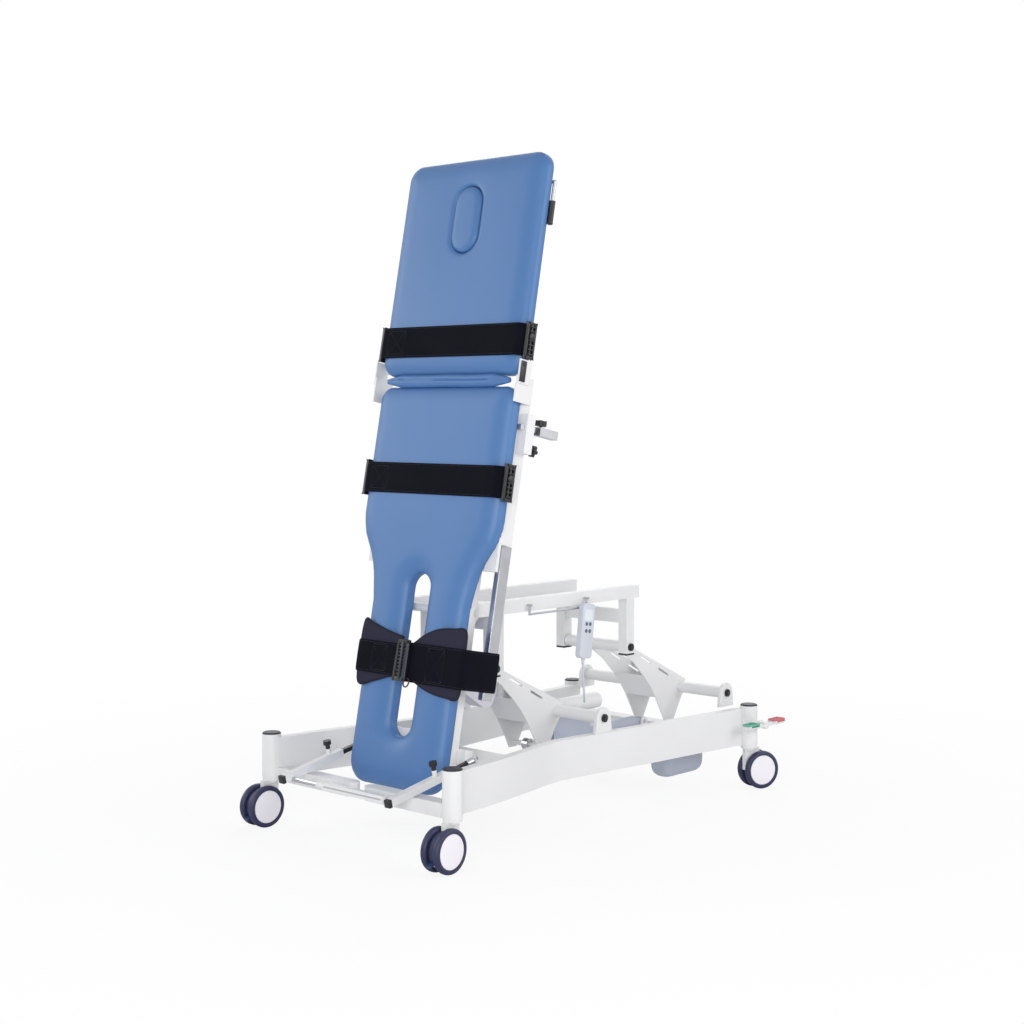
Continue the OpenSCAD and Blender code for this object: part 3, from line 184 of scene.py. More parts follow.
def make_grain():
    """A fine relief, between rounded cells and cloud."""
    t, given, out = group("fine_grain",
                          [("Scale", "Float", 400.0), ("Depth", "Float", 0.2), ("Softness", "Float", 0.5)],
                          [("Normal", "Vector")])
    where = t.add("TexCoord").outputs["Object"]
    cells = t.add("TexVoronoi", {"Vector": where, "Scale": given["Scale"]}, feature="SMOOTH_F1")
    cloud = t.add("TexNoise", {"Vector": where, "Scale": given["Scale"], "Detail": 3.0})
    height = t.blend(given["Softness"], cells.outputs["Distance"], cloud.outputs["Fac"], "FLOAT")
    bump = t.add("Bump", {"Height": height, "Strength": given["Depth"], "Distance": 0.0006})
    t.set(out, "Normal", bump.outputs[0])
    return t.tree


def make_weave():
    """Webbing: ribs along the table's width with a fine cross thread, turned with the table's lean."""
    t, given, out = group("webbing_weave",
                          [("Color", "Color", (0.02, 0.02, 0.04, 1)),
                           ("Thread", "Color", (0.06, 0.06, 0.09, 1)),
                           ("Rib", "Float", 0.0036), ("Depth", "Float", 0.6)],
                          [("Color", "Color"), ("Normal", "Vector")])
    where = t.add("TexCoord").outputs["Object"]
    upright = t.add("Mapping", {"Vector": where, "Rotation": (0, -math.radians(TABLE_LEAN), 0)})
    parts = t.add("SeparateXYZ", {"Vector": upright.outputs[0]})
    rate = t.calc("DIVIDE", 2 * math.pi, given["Rib"])
    waves = []
    for axis, share in (("Z", 1.0), ("Y", 1.7)):
        along = t.calc("MULTIPLY", parts.outputs[axis], t.calc("MULTIPLY", rate, share))
        wave = t.add("MapRange", {"Value": t.calc("SINE", along), "From Min": -1.0, "From Max": 1.0})
        waves.append(wave.outputs[0])
    height = t.calc("MULTIPLY", *waves)
    fuzz = t.add("TexNoise", {"Vector": where, "Scale": 900.0, "Detail": 2.0})
    rough = t.calc("MULTIPLY", height, fuzz.outputs["Fac"])
    bump = t.add("Bump", {"Height": height, "Strength": given["Depth"], "Distance": 0.0008})
    t.set(out, "Color", t.blend(rough, given["Color"], given["Thread"]))
    t.set(out, "Normal", bump.outputs[0])
    return t.tree


DRIFT = make_mottle()
WEAR = make_edge_wear()
GRAIN = make_grain()
WEAVE = make_weave()


def material(name, base, rough, metal=0.0, drift=(8.0, 0.05), worn=None, wear=0.0, grain=(500.0, 0.12, 0.7),
             weave=None, rough_swing=0.08, **shader):
    """A finish: its colour drifts a little, its edges are rubbed and its surface has a fine relief."""
    made = bpy.data.materials.new(name)
    made.use_nodes = True
    t = Tree(made.node_tree)
    t.nodes.clear()
    surface = t.add("BsdfPrincipled")
    end = t.add("OutputMaterial", {"Surface": surface.outputs[0]})
    end.location = (surface.location[0] + 300, 0)
    varied = t.add("Group", node_tree=DRIFT)
    varied.inputs["Color"].default_value = colour(*base)
    varied.inputs["Scale"].default_value = drift[0]
    varied.inputs["Amount"].default_value = drift[1]
    tint = varied.outputs["Color"]
    if weave:
        cloth = t.add("Group", node_tree=WEAVE)
        cloth.inputs["Rib"].default_value = weave[0]
        cloth.inputs["Depth"].default_value = weave[1]
        cloth.inputs["Thread"].default_value = colour(*weave[2])
        t.set(cloth, "Color", tint)
        tint = cloth.outputs["Color"]
        t.set(surface, "Normal", cloth.outputs["Normal"])
    else:
        relief = t.add("Group", node_tree=GRAIN)
        for socket, value in zip(("Scale", "Depth", "Softness"), grain):
            relief.inputs[socket].default_value = value
        t.set(surface, "Normal", relief.outputs["Normal"])
    if worn:
        rubbed = t.add("Group", node_tree=WEAR)
        t.set(rubbed, "Color", tint)
        rubbed.inputs["Worn"].default_value = colour(*worn)
        rubbed.inputs["Amount"].default_value = wear
        tint = rubbed.outputs["Color"]
    t.set(surface, "Base Color", tint)
    spread = t.add("MapRange", {"Value": varied.outputs["Mask"],
                                "To Min": rough - rough_swing, "To Max": rough + rough_swing})
    t.set(surface, "Roughness", spread.outputs[0])
    surface.inputs["Metallic"].default_value = metal
    for socket, value in shader.items():
        surface.inputs[socket.replace("_", " ")].default_value = value
    return made


POWDER = material("white_powder_coat", (229, 229, 230), 0.42, worn=(206, 207, 210), wear=0.35,
                  grain=(900.0, 0.10, 1.0))
CREAM = material("white_plastic", (232, 232, 233), 0.36, grain=(1400.0, 0.06, 1.0))
VINYL = material("blue_vinyl", (74, 117, 172), 0.44, drift=(5.0, 0.06),
                 grain=(900.0, 0.22, 0.35), rough_swing=0.05)
WEBBING = material("dark_webbing", (6, 6, 17), 0.88, weave=(0.0034, 0.5, (18, 18, 34)),
                   Specular_IOR_Level=0.12)
PAD = material("soft_pad", (38, 38, 56), 0.92, weave=(0.0016, 0.3, (56, 56, 76)), Specular_IOR_Level=0.25)
BINDING = material("edge_binding", (18, 18, 26), 0.85, weave=(0.0022, 0.4, (34, 34, 46)))
THREAD = material("stitching", (66, 66, 84), 0.7)
BLACK = material("black_moulding", (24, 24, 29), 0.42, worn=(60, 60, 66), wear=0.5, grain=(1200.0, 0.2, 0.8))
CAP = material("dark_cap", (46, 46, 56), 0.5, worn=(80, 80, 90), wear=0.5, grain=(1200.0, 0.2, 0.8))
TYRE = material("navy_tyre", (36, 40, 74), 0.48, worn=(88, 92, 128), wear=0.4, grain=(700.0, 0.18, 0.8))
HUB = material("pale_hub", (240, 237, 243), 0.38, grain=(900.0, 0.05, 1.0))
LEVER = material("blue_lever", (44, 58, 98), 0.42, worn=(84, 104, 140), wear=0.4)
CHROME = material("polished_steel", (196, 198, 203), 0.2, metal=1.0, drift=(20.0, 0.06),
                  grain=(200.0, 0.05, 1.0))
STEEL = material("brushed_steel", (196, 197, 202), 0.3, metal=1.0, drift=(26.0, 0.12),
                 grain=(500.0, 0.14, 1.0))
ZINC = material("zinc_plate", (190, 191, 196), 0.42, metal=0.9, drift=(40.0, 0.15), grain=(300.0, 0.12, 0.6))
BOXING = material("grey_blue_casing", (176, 182, 198), 0.46, worn=(196, 200, 210), wear=0.3,
                  grain=(900.0, 0.15, 0.9))
LILAC = material("pale_casing", (222, 221, 232), 0.42, grain=(900.0, 0.12, 0.9))
KEYPAD = material("handset_casing", (203, 208, 219), 0.44, grain=(1400.0, 0.1, 0.9))
DISPLAY = material("pale_display", (226, 234, 238), 0.12, drift=(30.0, 0.03), Coat_Weight=0.6)
MARK = material("keypad_marks", (92, 98, 116), 0.5)
CORD = material("grey_cord", (204, 206, 214), 0.5, grain=(900.0, 0.1, 0.9))
GREEN = material("green_pad", (92, 174, 148), 0.5, worn=(140, 200, 180), wear=0.3)
RED = material("red_pad", (200, 102, 112), 0.5, worn=(220, 150, 156), wear=0.3)
SCALE = material("dark_scale", (40, 40, 46), 0.4, metal=0.5, drift=(20.0, 0.1))
GOLD = material("gold_marks", (206, 170, 96), 0.4, metal=0.6)


# Making pieces. TIP is the radius of a lathed skin where it closes at its axis.
TIP = 0.1
BLOCK_FACES = [(0, 3, 2, 1), (4, 5, 6, 7), (0, 1, 5, 4), (1, 2, 6, 5), (2, 3, 7, 6), (3, 0, 4, 7)]


def place(matrix, points):
    return [matrix @ Vector(p) for p in points]


def around(steps, closing=0):
    """Angles at even steps round a circle, with one more where the line closes on its start."""
    return [2 * math.pi * i / steps for i in range(steps + closing)]


def piece(name, points, faces, finish, body, bevel=0.0, angle=35.0):
    """A mesh piece from row-frame points: welded, bevelled on its sharp edges, and riding on a body."""
    mesh = bpy.data.meshes.new(name)
    mesh.from_pydata([tuple(p) for p in points], [], [tuple(f) for f in faces])
    limit = math.radians(angle)
    work = bmesh.new()
    work.from_mesh(mesh)
    bmesh.ops.remove_doubles(work, verts=work.verts, dist=1e-6)
    bmesh.ops.recalc_face_normals(work, faces=work.faces)
    if bevel:
        sharp = [e for e in work.edges if len(e.link_faces) == 2 and e.calc_face_angle(0) > limit]
        if sharp:
            bmesh.ops.bevel(work, geom=sharp, offset=bevel * MM, segments=2, profile=0.5,
                            affect="EDGES", clamp_overlap=True)
    for face in work.faces:
        face.smooth = True
    for edge in work.edges:
        edge.smooth = len(edge.link_faces) == 2 and edge.calc_face_angle(0) < limit
    work.to_mesh(mesh)
    work.free()
    made = bpy.data.objects.new(name, mesh)
    scene.collection.objects.link(made)
    mesh.materials.append(finish)
    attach(made, body)
    return made


def closed_rings(rings, looped=False):
    """Points and faces of a skin through equal rings: capped at its ends, or looped back to its start."""
    count = len(rings[0])
    points = [p for ring in rings for p in ring]
    faces = []
    for k in range(len(rings) - (not looped)):
        m = (k + 1) % len(rings)
        for i in range(count):
            j = (i + 1) % count
            faces.append((k * count + i, k * count + j, m * count + j, m * count + i))
    if not looped:
        faces.append(tuple(range(count - 1, -1, -1)))
        faces.append(tuple((len(rings) - 1) * count + i for i in range(count)))
    return points, faces


def turned(matrix, profile, axis="Y", steps=28, looped=False):
    """A lathed skin: profile is (radius, place along the axis), closed by flat ends or looped."""
    rings = []
    for radius, along in profile:
        ring = []
        for a in around(steps):
            x, y = radius * math.cos(a), radius * math.sin(a)
            ring.append((x, along, y) if axis == "Y" else (x, y, along))
        rings.append(place(matrix, ring))
    return closed_rings(rings, looped)


def pin(radius, low, high):
    """The lathe profile of a plain round pin."""
    return [(TIP, low), (radius, low), (radius, high), (TIP, high)]


def joined(*parts):
    """Several skins as one."""
    points, faces = [], []
    for some, theirs in parts:
        base = len(points)
        points += list(some)
        faces += [tuple(base + i for i in face) for face in theirs]
    return points, faces


def block(matrix, low, high):
    """A box between two of its corners."""
    (a, b, c), (d, e, f) = low, high
    corners = [(a, b, c), (d, b, c), (d, e, c), (a, e, c), (a, b, f), (d, b, f), (d, e, f), (a, e, f)]
    return place(matrix, corners), BLOCK_FACES


def smooth_line(points, steps):
    """A smooth line through points (Catmull-Rom)."""
    line = []
    pts = [Vector(p) for p in points]
    ext = [2 * pts[0] - pts[1]] + pts + [2 * pts[-1] - pts[-2]]
    for k in range(1, len(ext) - 2):
        a, b, c, d = ext[k - 1:k + 3]
        for i in range(steps):
            t = i / steps
            line.append(0.5 * ((2 * b) + (c - a) * t + (2 * a - 5 * b + 4 * c - d) * t * t
                               + (3 * b - a - 3 * c + d) * t ** 3))
    line.append(pts[-1])
    return line


def tube(line, radius, steps):
    """A round tube along row-frame points, with its frame carried along the line."""
    rings = []
    side = None
    for i, p in enumerate(line):
        ahead = (line[min(i + 1, len(line) - 1)] - line[max(i - 1, 0)]).normalized()
        if side is None:
            side = ahead.orthogonal().normalized()
        side = (side - ahead * side.dot(ahead)).normalized()
        up = ahead.cross(side)
        rings.append([p + radius * MM * (math.cos(a) * side + math.sin(a) * up) for a in around(steps)])
    return closed_rings(rings)


def ribbon(matrix, line, low, high, thick, bow, steps=10, edge_share=0.35):
    """A flat band along a line of (n, y) points, as wide as low to high, with soft edges and a slight bow."""
    profile = []
    for i in range(steps + 1):
        s = i / steps
        profile.append((low + s * (high - low), 4 * s * (1 - s)))
    rings = []
    pts = [Vector((n, y, 0)) for n, y in line]
    for i, p in enumerate(pts):
        ahead = (pts[min(i + 1, len(pts) - 1)] - pts[max(i - 1, 0)]).normalized()
        out = Vector((ahead.y, -ahead.x, 0))
        if out.x > 0.3:
            out = -out
        ring = []
        for u, hump in profile:
            q = p + out * (thick * (1 - edge_share * (1 - min(1, hump * 4))) + bow * hump)
            ring.append((q.x, q.y, u))
        for u, _ in reversed(profile):
            ring.append((p.x, p.y, u))
        rings.append(place(matrix, ring))
    return closed_rings(rings)


def finish_node(name, finish, bevel):
    """A CAD node keeps its own shape: it gets a finish, softened edges and smooth round faces."""
    node = nodes[name]
    mesh = node.data
    mesh.materials.clear()
    mesh.materials.append(finish)
    mesh.polygons.foreach_set("use_smooth", [True] * len(mesh.polygons))
    weld = node.modifiers.new("weld", "WELD")
    weld.merge_threshold = 0.00002
    soften = node.modifiers.new("soft_edges", "BEVEL")
    soften.width = bevel * MM
    soften.segments = 2
    soften.limit_method = "ANGLE"
    soften.angle_limit = math.radians(35)
    soften.harden_normals = False
    soften.miter_outer = "MITER_ARC"
    even = node.modifiers.new("even_shading", "WEIGHTED_NORMAL")
    even.keep_sharp = False
    even.weight = 80


# Upholstery: n is the depth behind the front, y runs across the table and u along it
CUSHION_FRONT, CUSHION_BACK, CUSHION_ROLL, CUSHION_DROP = 9, 59, 64, 27
FOOT_END, HIP_END, HEAD_FROM, HEAD_TO = -143, 1066, 1099, 1787
FOOT_HALF, HIP_HALF, HEAD_HALF = 196, 287, 298
FOOT_ROUND, HIP_ROUND, HEAD_ROUND = 68, 45, 55
# The leg cushion's side: share of its length, share of the way from the foot's to the hips' width
WAIST = [(0.449, 0), (0.466, 0.04), (0.49, 0.1), (0.515, 0.165), (0.541, 0.275), (0.566, 0.42), (0.588, 0.6),
         (0.615, 0.82), (0.64, 0.93), (0.667, 1), (0.78, 1)]
SLOT_HALF, SLOT_FROM, SLOT_TO = 44, 52, 450
PLUG_U, PLUG_LONG, PLUG_WIDE, PLUG_GAP = 1589, 212, 113, 1.0
PLUG_FRONT, PLUG_BACK, PLUG_ROLL, PLUG_DROP, PLUG_CREASE = 4.5, 50, 22, 12, (16, 11)
EDGE_STEP, RING_DEPTHS, RING_GAP, RING_CELL, GRID_FROM = 9, (2, 5, 9, 14, 20, 27), 1.6, 5, 31
DOME_REACH, PUFF_REACH, PUFF_RATE, SIDE_TALL = 170, 40, 0.011, 6


def arc(y, u, r, start, end, steps=10):
    """Points along an arc about (y, u), from one angle to another in degrees."""
    angles = [math.radians(start + (end - start) * i / steps) for i in range(steps + 1)]
    return [(y + r * math.cos(a), u + r * math.sin(a)) for a in angles]


def mirrored(side):
    """A closed line from its half on the far side."""
    return side + [(-y, u) for y, u in reversed(side) if abs(y) > 0.01]


def resampled(line, spacing):
    """A closed line with points at an even spacing."""
    out = []
    for i, a in enumerate(line):
        b = line[(i + 1) % len(line)]
        length = math.dist(a, b)
        if length < 1e-6:
            continue
        pieces = max(1, round(length / spacing))
        out += [(a[0] + (b[0] - a[0]) * k / pieces, a[1] + (b[1] - a[1]) * k / pieces) for k in range(pieces)]
    return out


def drawn_in(line, depth):
    """A closed line moved inwards (left of its direction) by a depth."""
    out = []
    for i, p in enumerate(line):
        a, b = line[i - 1], line[(i + 1) % len(line)]
        ty, tu = b[0] - a[0], b[1] - a[1]
        size = math.hypot(ty, tu)
        out.append((p[0] - depth * tu / size, p[1] + depth * ty / size))
    return out


def within(point, line):
    """Whether a point lies inside a closed line."""
    crossings = 0
    for (ay, au), (by, bu) in zip(line, line[1:] + line[:1]):
        if (au > point[1]) != (bu > point[1]) and point[0] < ay + (by - ay) * (point[1] - au) / (bu - au):
            crossings += 1
    return crossings % 2 == 1


def edge_distance(points, loops):
    """Distance of each point to the nearest of the loops' edges."""
    best = np.full(len(points), 1e9)
    pts = np.array(points)
    for line in loops:
        a = np.array(line)
        b = np.roll(a, -1, axis=0)
        for p, q in zip(a, b):
            step = q - p
            t = np.clip(((pts - p) @ step) / (step @ step), 0, 1)
            best = np.minimum(best, np.linalg.norm(pts - (p + t[:, None] * step), axis=1))
    return best


def rolled(distance, roll, drop):
    """How far a stuffed front falls back at a distance from its edge."""
    share = min(1.0, distance / roll)
    return drop * (1 - math.sqrt(max(0.0, 1 - (1 - share) ** 2)))


def filling(outline, loops, grid):
    """Points between the loops: rings along every edge, and a staggered grid beyond them."""
    low_y, high_y = min(p[0] for p in outline), max(p[0] for p in outline)
    low_u, high_u = min(p[1] for p in outline), max(p[1] for p in outline)
    inner = [p for depth in RING_DEPTHS for line in loops for p in drawn_in(line, depth)]
    ringed = len(inner)
    for row in range(int((high_u - low_u) / grid) + 1):
        for column in range(int((high_y - low_y) / grid) + 2):
            inner.append((low_y + (column + 0.5 * (row % 2)) * grid, low_u + row * grid))
    kept, taken = [], set()
    for i, (p, d) in enumerate(zip(inner, edge_distance(inner, loops))):
        cell = (round(p[0] / RING_CELL), round(p[1] / RING_CELL))
        if (i < ringed and d > RING_GAP and cell not in taken) or (i >= ringed and d > GRID_FROM):
            kept.append(p)
            taken.add(cell)
    return kept


def upholstered(name, outline, holes, front, back, roll, drop, body, finish,
                grid=13, dome=2.5, puff=0.5, side_in=2.5, crease=None):
    """A stuffed pad: a front that rolls over towards every edge and slot, straight sides and a flat back."""
    loops = [resampled(line, EDGE_STEP) for line in [outline] + holes]
    points = [p for line in loops for p in line] + filling(outline, loops, grid)
    edges, base = [], 0
    for line in loops:
        edges += [(base + i, base + (i + 1) % len(line)) for i in range(len(line))]
        base += len(line)
    flat, _, faces, *_ = delaunay_2d_cdt([Vector(p) for p in points], edges, [], 1, 1e-5)
    plane = [(p.x, p.y) for p in flat]

    def in_hole(face):
        middle = [sum(plane[v][k] for v in face) / 3 for k in (0, 1)]
        return any(within(middle, line) for line in loops[1:])

    faces = [tuple(face) for face in faces if not in_hole(face)]
    depth = edge_distance(plane, loops)
    to_rim = edge_distance(plane, loops[:1])
    to_hole = edge_distance(plane, loops[1:])
    hole_roll, hole_drop = crease or (roll, drop)
    top, bottom = [], []
    for (y, u), d, rim_d, hole_d in zip(plane, depth, to_rim, to_hole):
        n = front + max(rolled(rim_d, roll, drop), rolled(hole_d, hole_roll, hole_drop))
        n += dome * (1 - min(1.0, d / DOME_REACH)) ** 2
        swell = noise.noise(Vector((y * PUFF_RATE, u * PUFF_RATE, front * 0.1)))
        n += puff * min(1.0, d / PUFF_REACH) * swell
        top.append((n, y, u))
        bottom.append((back, y, u))
    rim = {}
    for line in loops:
        for (y, u), moved in zip(line, drawn_in(line, side_in)):
            rim[(round(y, 3), round(u, 3))] = moved
    count = len(plane)
    skin = []
    for a, b, c in faces:
        skin.append((a, b, c))
        skin.append((count + c, count + b, count + a))
    directed = dict.fromkeys(edge for face in faces for edge in zip(face, face[1:] + face[:1]))
    border = [(a, b) for a, b in directed if (b, a) not in directed]
    middle, middle_of = [], {}
    for a, _ in border:
        y, u = plane[a]
        middle_of[a] = 2 * count + len(middle)
        middle.append((back - SIDE_TALL, y, u))
        bottom[a] = (back, *rim.get((round(y, 3), round(u, 3)), (y, u)))
    for a, b in border:
        skin.append((b, a, middle_of[a], middle_of[b]))
        skin.append((middle_of[b], middle_of[a], count + a, count + b))
    made = piece(name, place(TABLE, top + bottom + middle), skin, finish, body, angle=60)
    return made


def stadium(grow):
    """The face plug's outline, grown by a margin."""
    half = (PLUG_LONG - PLUG_WIDE) / 2
    r = PLUG_WIDE / 2 + grow
    return mirrored(arc(0, PLUG_U - half, r, -90, 0) + arc(0, PLUG_U + half, r, 0, 90))


leg_side = [(0, FOOT_END)] + arc(FOOT_HALF - FOOT_ROUND, FOOT_END + FOOT_ROUND, FOOT_ROUND, -90, 0)
for along, share in WAIST:
    leg_side.append((FOOT_HALF + share * (HIP_HALF - FOOT_HALF), FOOT_END + along * (HIP_END - FOOT_END)))
leg_side += arc(HIP_HALF - HIP_ROUND, HIP_END - HIP_ROUND, HIP_ROUND, 0, 90) + [(0, HIP_END)]
head_side = ([(0, HEAD_FROM)] + arc(HEAD_HALF - HEAD_ROUND, HEAD_FROM + HEAD_ROUND, HEAD_ROUND, -90, 0)
             + arc(HEAD_HALF - HEAD_ROUND, HEAD_TO - HEAD_ROUND, HEAD_ROUND, 0, 90) + [(0, HEAD_TO)])
slot_side = arc(0, SLOT_FROM, SLOT_HALF, -90, 0) + arc(0, SLOT_TO, SLOT_HALF, 0, 90)

legs = upholstered("leg_cushion_cover", mirrored(leg_side), [mirrored(slot_side)[::-1]],
                   CUSHION_FRONT, CUSHION_BACK, CUSHION_ROLL, CUSHION_DROP, "table", VINYL)
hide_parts("leg_cushion")
head = upholstered("back_cushion_cover", mirrored(head_side), [stadium(0)[::-1]],
                   CUSHION_FRONT, CUSHION_BACK, CUSHION_ROLL, CUSHION_DROP, "backrest", VINYL,
                   crease=PLUG_CREASE)
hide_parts("back_cushion")
plug = upholstered("face_plug_cover", stadium(-PLUG_GAP), [], PLUG_FRONT, PLUG_BACK, PLUG_ROLL, PLUG_DROP,
                   "plug", VINYL, grid=9, dome=1.5, puff=0.2)
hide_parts("face_plug")


def local_box(name, matrix, keep=lambda p: True):
    """The lowest and highest corner of a CAD node's points in another frame, in its millimetres."""
    back = matrix.inverted()
    seen = [back @ (nodes[name].matrix_world @ v.co) for v in nodes[name].data.vertices]
    sides = list(zip(*(p for p in seen if keep(p))))
    return Vector([min(side) for side in sides]), Vector([max(side) for side in sides])


# The vinyl fold between the two cushions: a soft roll with a pleat along it, pressed against both cushions
FOLD_STEPS, FOLD_ROUND = 56, 32
FOLD_DEEP, FOLD_TALL = 17, 20
PLEAT, PLEAT_ANGLE, PLEAT_WIDE = 5.5, 172, 0.16
low, high = local_box("fold_gusset", TABLE)
fold_mid = (low + high) / 2
fold_rings = []
for k in range(FOLD_STEPS + 1):
    s = k / FOLD_STEPS
    y = low.y + s * (high.y - low.y)
    pinch = min(1.0, 0.4 + 5.0 * min(s, 1 - s))
    sag = 0.8 * math.sin(s * math.pi * 5) + 1.6 * noise.noise(Vector((s * 5, 3, 1)))
    pleat_at = math.radians(PLEAT_ANGLE + 9 * math.sin(s * 4) + 10 * noise.noise(Vector((s * 7, 1, 5))))
    ring = []
    for a in around(FOLD_ROUND):
        off = math.atan2(math.sin(a - pleat_at), math.cos(a - pleat_at))
        tuck = PLEAT * math.exp(-(off / PLEAT_WIDE) ** 2)
        ring.append((fold_mid.x + (FOLD_DEEP * pinch - tuck * pinch) * math.cos(a), y,
                     fold_mid.z + FOLD_TALL * pinch * math.sin(a) + sag * 0.5 * pinch))
    fold_rings.append(place(TABLE, ring))
fold = piece("fold_roll", *closed_rings(fold_rings), VINYL, "table", angle=80)
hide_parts("fold_gusset")


# Straps
STRAP_THICK, STRAP_BOW, STRAP_CLEAR, STRAP_FRONT, STRAP_BEHIND = 4.6, 0.6, 0.6, 8.2, 50
WRAP_ROUND, WRAP_STEPS, ACROSS_STEPS = 20, 7, 14
STITCH_LONG, STITCH_GAP, STITCH_R, SEAM_INSET, SEAM_LIFT = 3.4, 2.2, 0.42, 5, 0.1


def stitch_row(line):
    """A row of separate stitches lying on a line of the table's (n, y, u) points."""
    parts = []
    pts = [Vector(p) for p in line]
    for a, b in zip(pts, pts[1:]):
        length = (b - a).length
        ahead = (b - a).normalized()
        side = ahead.cross(Vector((1, 0, 0)))
        if side.length < 0.1:
            side = ahead.cross(Vector((0, 1, 0)))
        side.normalize()
        up = side.cross(ahead)
        for k in range(int(length / (STITCH_LONG + STITCH_GAP))):
            start = a + ahead * (k * (STITCH_LONG + STITCH_GAP) + STITCH_GAP / 2)
            rings = []
            for along, share in ((0, 0.3), (0.25, 1), (0.75, 1), (1, 0.3)):
                centre = start + ahead * STITCH_LONG * along
                rings.append(place(TABLE, [centre + STITCH_R * share * (side * math.cos(t) + up * math.sin(t))
                                           for t in around(4)]))
            parts.append(closed_rings(rings))
    return joined(*parts)


def wrap_line(cushion_half):
    """A strap's inner line of (n, y), from behind the far side across the front to behind the near side."""
    half, r = cushion_half + STRAP_CLEAR, WRAP_ROUND
    side = [(STRAP_BEHIND, half), (STRAP_FRONT + r, half)]
    for i in range(1, WRAP_STEPS + 1):
        a = math.pi / 2 * i / WRAP_STEPS
        side.append((STRAP_FRONT + r - r * math.sin(a), half - r + r * math.cos(a)))
    across = [(STRAP_FRONT, half - r - (2 * half - 2 * r) * i / ACROSS_STEPS) for i in range(1, ACROSS_STEPS)]
    return side + across + [(n, -y) for n, y in reversed(side)]


def strap(name, line, low, high, body, box, replaced=None):
    """A strap with seams along its edges and a crossed box of stitches, given as depth, two y and margin."""
    made = piece(name, *ribbon(TABLE, line, low, high, STRAP_THICK, STRAP_BOW), WEBBING, body, angle=70)
    if replaced:
        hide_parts(replaced)
    face = [Vector(p) for p in line]
    seams = []
    for u in (low + SEAM_INSET, high - SEAM_INSET):
        outer = []
        for i, p in enumerate(face):
            ahead = (face[min(i + 1, len(face) - 1)] - face[max(i - 1, 0)]).normalized()
            q = p + Vector((ahead.y, -ahead.x)) * (STRAP_THICK + SEAM_LIFT)
            outer.append((q.x, q.y, u))
        seams.append(stitch_row(outer))
    n, (y0, y1), margin = box
    u0, u1 = low + margin, high - margin
    a, b, c, d = (n, y0, u0), (n, y1, u0), (n, y1, u1), (n, y0, u1)
    for ends in ((a, b), (b, c), (c, d), (d, a), (a, c), (d, b)):
        seams.append(stitch_row(ends))
    piece(name + "_stitching", *joined(*seams), THREAD, body)


CHEST_U, PELVIS_U = (1154, 1251), (730, 824)
strap("chest_strap_webbing", wrap_line(HEAD_HALF), *CHEST_U, "backrest", (3.2, (262, 190), 12), "chest_strap")
strap("pelvis_strap_webbing", wrap_line(HIP_HALF), *PELVIS_U, "table", (3.2, (250, 180), 12), "pelvis_strap")
KNEE_FRONT, KNEE_BOX_N = 0.3, -4.6
near_line = [(KNEE_FRONT, y) for y in (*range(-30, -181, -30), -205, -226, -238)] + [
    (1.2, -246), (4, -252), (11, -256), (24, -258), (42, -257), (66, -257), (95, -257), (125, -257),
    (138, -256), (142.5, -252), (144, -246), (144, -238)]
far_line = [(58, 206), (40, 206), (22, 205), (10, 202), (3, 194), (KNEE_FRONT, 182)] + [
    (KNEE_FRONT, y) for y in (*range(150, 29, -30), 14)]
strap("knee_strap_near", near_line, 170, 286, "table", (KNEE_BOX_N, (-176, -108), 10), "knee_straps")
strap("knee_strap_far", far_line, 182, 278, "table", (KNEE_BOX_N, (66, 128), 10))

# Knee pads with a bound edge, their outlines as (u, y) points
PAD_FRONT, PAD_BACK, PAD_ROLL, PAD_DROP = 1.0, 8.4, 16, 3.4
BINDING_N, BINDING_R, BINDING_STEP = 6.2, 2.1, 7
WING = ((300, 12), (312, 80), (330, 150), (337, 188), (240, 194), (147, 184), (158, 120),
        (176, 60), (186, 12))
OVAL = ((286, -36), (314, -78), (334, -132), (340, -190), (336, -244), (240, -247), (146, -244), (142, -186),
        (150, -122), (166, -72), (182, -36))
for title, shape in (("far", WING), ("near", OVAL)):
    loop = [(p.y, p.z) for p in smooth_line([(0, y, u) for u, y in shape], 5)]
    winding = sum(a[0] * b[1] - b[0] * a[1] for a, b in zip(loop, loop[1:] + loop[:1]))
    loop = loop if winding > 0 else loop[::-1]
    made = upholstered("knee_pad_" + title, loop, [], PAD_FRONT, PAD_BACK, PAD_ROLL, PAD_DROP, "table", PAD,
                       grid=11, dome=0.6, puff=0.3, side_in=0.5)
    if title == "far":
        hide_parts("knee_pads")
    edge = [TABLE @ Vector((BINDING_N, y, u)) for y, u in resampled(loop, BINDING_STEP)]
    edge.append(edge[0].copy())
    binding = piece("knee_pad_%s_binding" % title, *tube(edge, BINDING_R, 8), BINDING, "table", angle=70)


# Side buckles, where the straps pass behind the cushions
BUCKLE_N, BUCKLE_Y, BUCKLE_END = (20, 58), (6, 17), 9
BUCKLE_BARS = ((20, 27, 0), (35, 42, 4), (51, 58, 0))
LATCH_N, LATCH_RIBS, LATCH_END, RIB_HALF, RIB_OUT = (28, 51), 7, 14, 2.2, 3
RIVET_N, RIVET_UP = 39, 12


